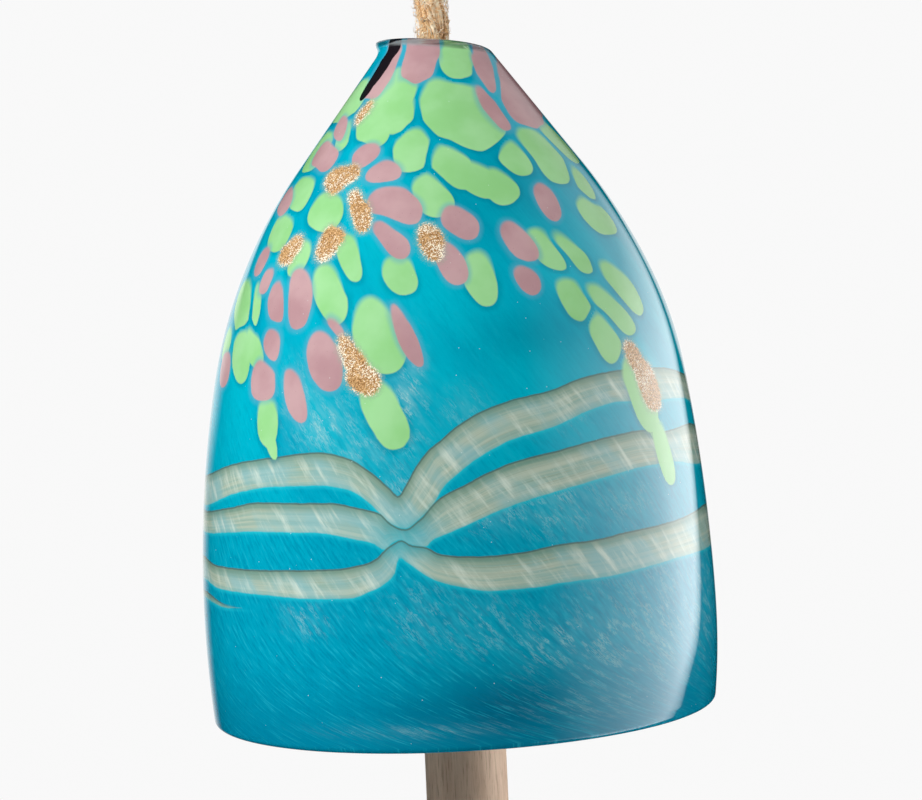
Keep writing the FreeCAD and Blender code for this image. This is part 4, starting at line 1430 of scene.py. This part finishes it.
# Painted highlights: pale lines along the lip.
body = tint(b, body, b.times(ramp(b, lip_glint_and_dark_lines, 0.5, 0.6, 0.0, 0.6), lip_near),
            226, 232, 232)
body = tint(b, body, b.times(ramp(b, lip_glint_and_dark_lines, 0.46, 0.36, 0.0, 0.65), lip_near),
            52, 66, 70)
finish_shader(b, b.add("ShaderNodeBsdfPrincipled", {
    "Base Color": body, "Roughness": 0.035, "IOR": 1.5,
    "Transmission Weight": ramp(b, past_lip, 0.3, 1.5, 0.6, 0.0)}))
bell_mesh.materials.append(glass)
print("glass shader", len(glass.node_tree.nodes), "nodes")

# %% [markdown]
# ## Wood and metal
# The clapper is turned from pale greyish wood with its grain running down it,
# and the ball under the neck is a warmer one. A picture of wood would show the
# same face all round a turned piece. The grain here is noise in the piece's own
# place, drawn out along the height, so it goes right through: it shows as lines
# on the side and as specks on the cut ends.

# %% Wood


def wood_material(name, pale, dark, pore):
    material, b = shader(name)
    place = b.add("ShaderNodeTexCoord", out="Object")
    grain_at = b.vector("MULTIPLY", place, (1.0, 1.0, 0.07))
    broad = noise(b, grain_at, 420.0, 3.0, 0.6)
    fine = noise(b, grain_at, 2400.0, 4.0, 0.65)
    colour = tint(b, srgb(*pale), ramp(b, broad, 0.35, 0.7, 0.0, 0.7), *dark)
    colour = tint(b, colour, ramp(b, fine, 0.5, 0.7, 0.0, 0.7), *pore)
    bump = b.add("ShaderNodeBump", {"Height": fine, "Strength": 0.35,
                                    "Distance": 0.0002})
    finish_shader(b, b.add("ShaderNodeBsdfPrincipled", {
        "Base Color": colour, "Roughness": 0.55, "Normal": bump}))
    return material


clapper_wood = wood_material("clapper_wood", (218, 188, 162), (188, 156, 132),
                             (150, 118, 96))
ball_wood = wood_material("ball_wood", (204, 170, 132), (176, 138, 100),
                          (134, 98, 66))
print("woods", clapper_wood.name, ball_wood.name)

# %% [markdown]
# The screw eye is bent from brass wire that has gone dull in patches, which is
# a metal with an uneven roughness. The clapper, the ball and the screw eye keep
# the shape that the frame has for them, since nothing on them is soft, and are
# only dressed.

# %% Brass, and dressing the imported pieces
brass, b = shader("eye_brass")
dull = noise(b, b.add("ShaderNodeTexCoord", out="Object"), 700.0, 3.0)
brass_colour = tint(b, srgb(206, 176, 112), ramp(b, dull, 0.35, 0.75, 0.0, 1.0),
                    150, 118, 66)
finish_shader(b, b.add("ShaderNodeBsdfPrincipled", {
    "Base Color": brass_colour, "Metallic": 1.0,
    "Roughness": ramp(b, dull, 0.3, 0.8, 0.22, 0.42)}))


def dress(node, material):
    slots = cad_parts[node].material_slots
    for slot in slots:
        slot.material = material
    print(node, "has", len(slots), "slot in", material.name)


dress("clapper", clapper_wood)
dress("seat_ball", ball_wood)
dress("screw_eye", brass)

# %% [markdown]
# ## Light
# The world is a white cyclorama behind the bell. The room on the camera's side
# is dark in reflections, which keeps the turquoise deep, and a little even
# light falls from all round. A picture of a studio could light it too. A few
# ramps on the direction of the ray do the same and can be moved one by one.

# %% World
bpy.context.scene.view_settings.view_transform = "Standard"
world = bpy.data.worlds.new("studio")
bpy.context.scene.world = world
world.use_nodes = True
world.node_tree.nodes.clear()
w = Bench(world.node_tree)
rays = world.node_tree.nodes.new("ShaderNodeLightPath").outputs
way = w.add("ShaderNodeTexCoord", out="Generated")
sideways, behind, upward = (w.add("ShaderNodeSeparateXYZ", {0: way}, out=axis)
                            for axis in range(3))
opens = w.minus(ramp(w, upward, -0.04, 0.08, 0.966, 0.9),
                ramp(w, sideways, -0.05, -0.2, 0.0, 0.14))
open_by = w.plus(opens, ramp(w, sideways, -0.05, -0.2, 0.03, 0.16))
room = w.times(ramp(w, behind, opens, open_by, 0.0, 1.0),
               ramp(w, upward, 0.17, 0.21, 1.0, 0.0))
mirrored = w.times(w.maths("MAXIMUM", rays["Is Glossy Ray"],
                           rays["Is Transmission Ray"]), room)
shown = w.maths("MAXIMUM", rays["Is Camera Ray"], mirrored)
even_light = w.times(w.minus(1.0, w.maths("MAXIMUM", rays["Is Camera Ray"],
                                          rays["Is Glossy Ray"])), 0.12)
sky = w.add("ShaderNodeBackground", {
    "Color": (1, 1, 1, 1), "Strength": w.plus(w.times(shown, 0.945), even_light)})
world_out = world.node_tree.nodes.new("ShaderNodeOutputWorld")
world.node_tree.links.new(sky, world_out.inputs["Surface"])
print("world", len(world.node_tree.nodes), "nodes")

# %% [markdown]
# Three plain lamps show the colours as they are: a key at the front left, a
# fill at the right and one behind. In a real studio each would show in the
# glass. Here none of them does, so that the one reflection the picture has can
# be shaped by itself in the next step.

# %% Lamps


def lamp(name, place, size, power):
    data = bpy.data.lights.new(name, "AREA")
    data.shape = "RECTANGLE"
    data.size, data.size_y = size
    data.energy = power
    light = bpy.data.objects.new(name, data)
    bpy.context.scene.collection.objects.link(light)
    aim = Vector((0, 0, -0.2)) - Vector(place)
    light.matrix_world = (Matrix.Translation(place)
                          @ aim.to_track_quat("-Z", "Y").to_matrix().to_4x4())
    light.visible_camera = False
    light.visible_glossy = False


lamp("key", (-1.1, -0.95, 0.85), (0.8, 0.8), 37)
lamp("fill", (1.5, 0.0, -0.35), (0.6, 0.5), 14)
lamp("rear", (-0.4, 1.7, 0.5), (1.0, 1.0), 26)

# %% [markdown]
# A tall soft box on the right lays its reflection over the right of the glass.
# It is part of a sphere round the bell, brightest near its far edge, which
# leans inwards below, and it fades towards its near edge and its top. An area
# lamp is as bright all over and has straight edges, so the box is a mesh with a
# glow kept on its points. Only reflections see it.

# %% Soft box
screen_columns, screen_rows = 91, 62
screen_radius, screen_start = 1.4, 36        # metres, and degrees round the bell
screen_share, screen_rise = np.meshgrid(
    np.linspace(0, 1, screen_columns), np.linspace(-60, 62, screen_rows), indexing="ij")
screen_end = np.interp(screen_rise, [-20, -15, -12, -9, -5, -1, 4, 9, 13, 30],
                       [110, 118, 126, 132, 138, 145, 149, 151, 155, 160])
screen_turn = screen_start + (screen_end - screen_start) * screen_share
turn, rise = np.radians(screen_turn), np.radians(screen_rise)
screen_points = screen_radius * np.stack([
    np.sin(turn) * np.cos(rise), -np.cos(turn) * np.cos(rise), np.sin(rise)], axis=2)
screen_points[:, :, 2] -= 0.2
at = (np.arange(screen_columns - 1)[:, None] * screen_rows
      + np.arange(screen_rows - 1)[None, :])
screen_faces = np.stack([at, at + 1, at + screen_rows + 1, at + screen_rows], axis=2)
screen_mesh = bpy.data.meshes.new("soft_box")
screen_mesh.from_pydata(screen_points.reshape(-1, 3).tolist(), [],
                        screen_faces.reshape(-1, 4).tolist())
brightest = 113                              # degrees round the bell
share = (np.clip((screen_turn - screen_start) / (brightest - screen_start), 0, 1) ** 1.3
         * np.clip(1 - (screen_turn - brightest) / 59, 0.12, 1)
         * np.interp(screen_rise, [-60, -6, 8, 15, 24, 45, 62],
                     [1.2, 1.14, 1.02, 0.76, 0.34, 0.12, 0])
         * np.clip((screen_end - screen_turn) / 9, 0, 1) ** 0.7)
keep_on(screen_mesh, "glow", "FLOAT", "value", share)
soft_box = bpy.data.objects.new("soft_box", screen_mesh)
bpy.context.scene.collection.objects.link(soft_box)
diffusion, b = shader("soft_box_diffusion")
finish_shader(b, b.add("ShaderNodeEmission", {
    "Color": (1, 1, 1, 1), "Strength": b.times(attribute(b, "glow"), 4.6)}))
screen_mesh.materials.append(diffusion)
soft_box.visible_camera = False
soft_box.visible_diffuse = False
soft_box.visible_shadow = False
soft_box.visible_transmission = False
print("soft box from", screen_start, "to", screen_end.max(), "degrees")

# %% [markdown]
# A plain pale floor lies well below the clapper. It keeps the shadow of the
# bell, fades into the cyclorama with distance, and is clear from underneath.
# An endless floor would hide the bell from every low view.

# %% Floor
floor_half, floor_height = 2, -0.6
floor_mesh = bpy.data.meshes.new("floor")
floor_mesh.from_pydata(
    [(x * floor_half, y * floor_half, floor_height)
     for x, y in ((-1, -1), (1, -1), (1, 1), (-1, 1))], [], [(0, 1, 2, 3)])
floor = bpy.data.objects.new("floor", floor_mesh)
bpy.context.scene.collection.objects.link(floor)
pale, b = shader("pale_floor")
place = b.add("ShaderNodeTexCoord", out="Object")
distance = b.vector("LENGTH", b.vector("MULTIPLY", place, (1, 1, 0)))
surface = b.add("ShaderNodeBsdfDiffuse", {"Color": (0.66, 0.66, 0.66, 1)})
clear = b.add("ShaderNodeBsdfTransparent")
underneath = b.add("ShaderNodeNewGeometry", out="Backfacing")
finish_shader(b, b.add("ShaderNodeMixShader", {
    0: b.times(ramp(b, distance, 0.45, 1.3, 1.0, 0.0), b.minus(1.0, underneath)),
    1: clear, 2: surface}))
floor_mesh.materials.append(pale)
floor.visible_glossy = False
print("floor", floor.name, "at", floor_height, "m")
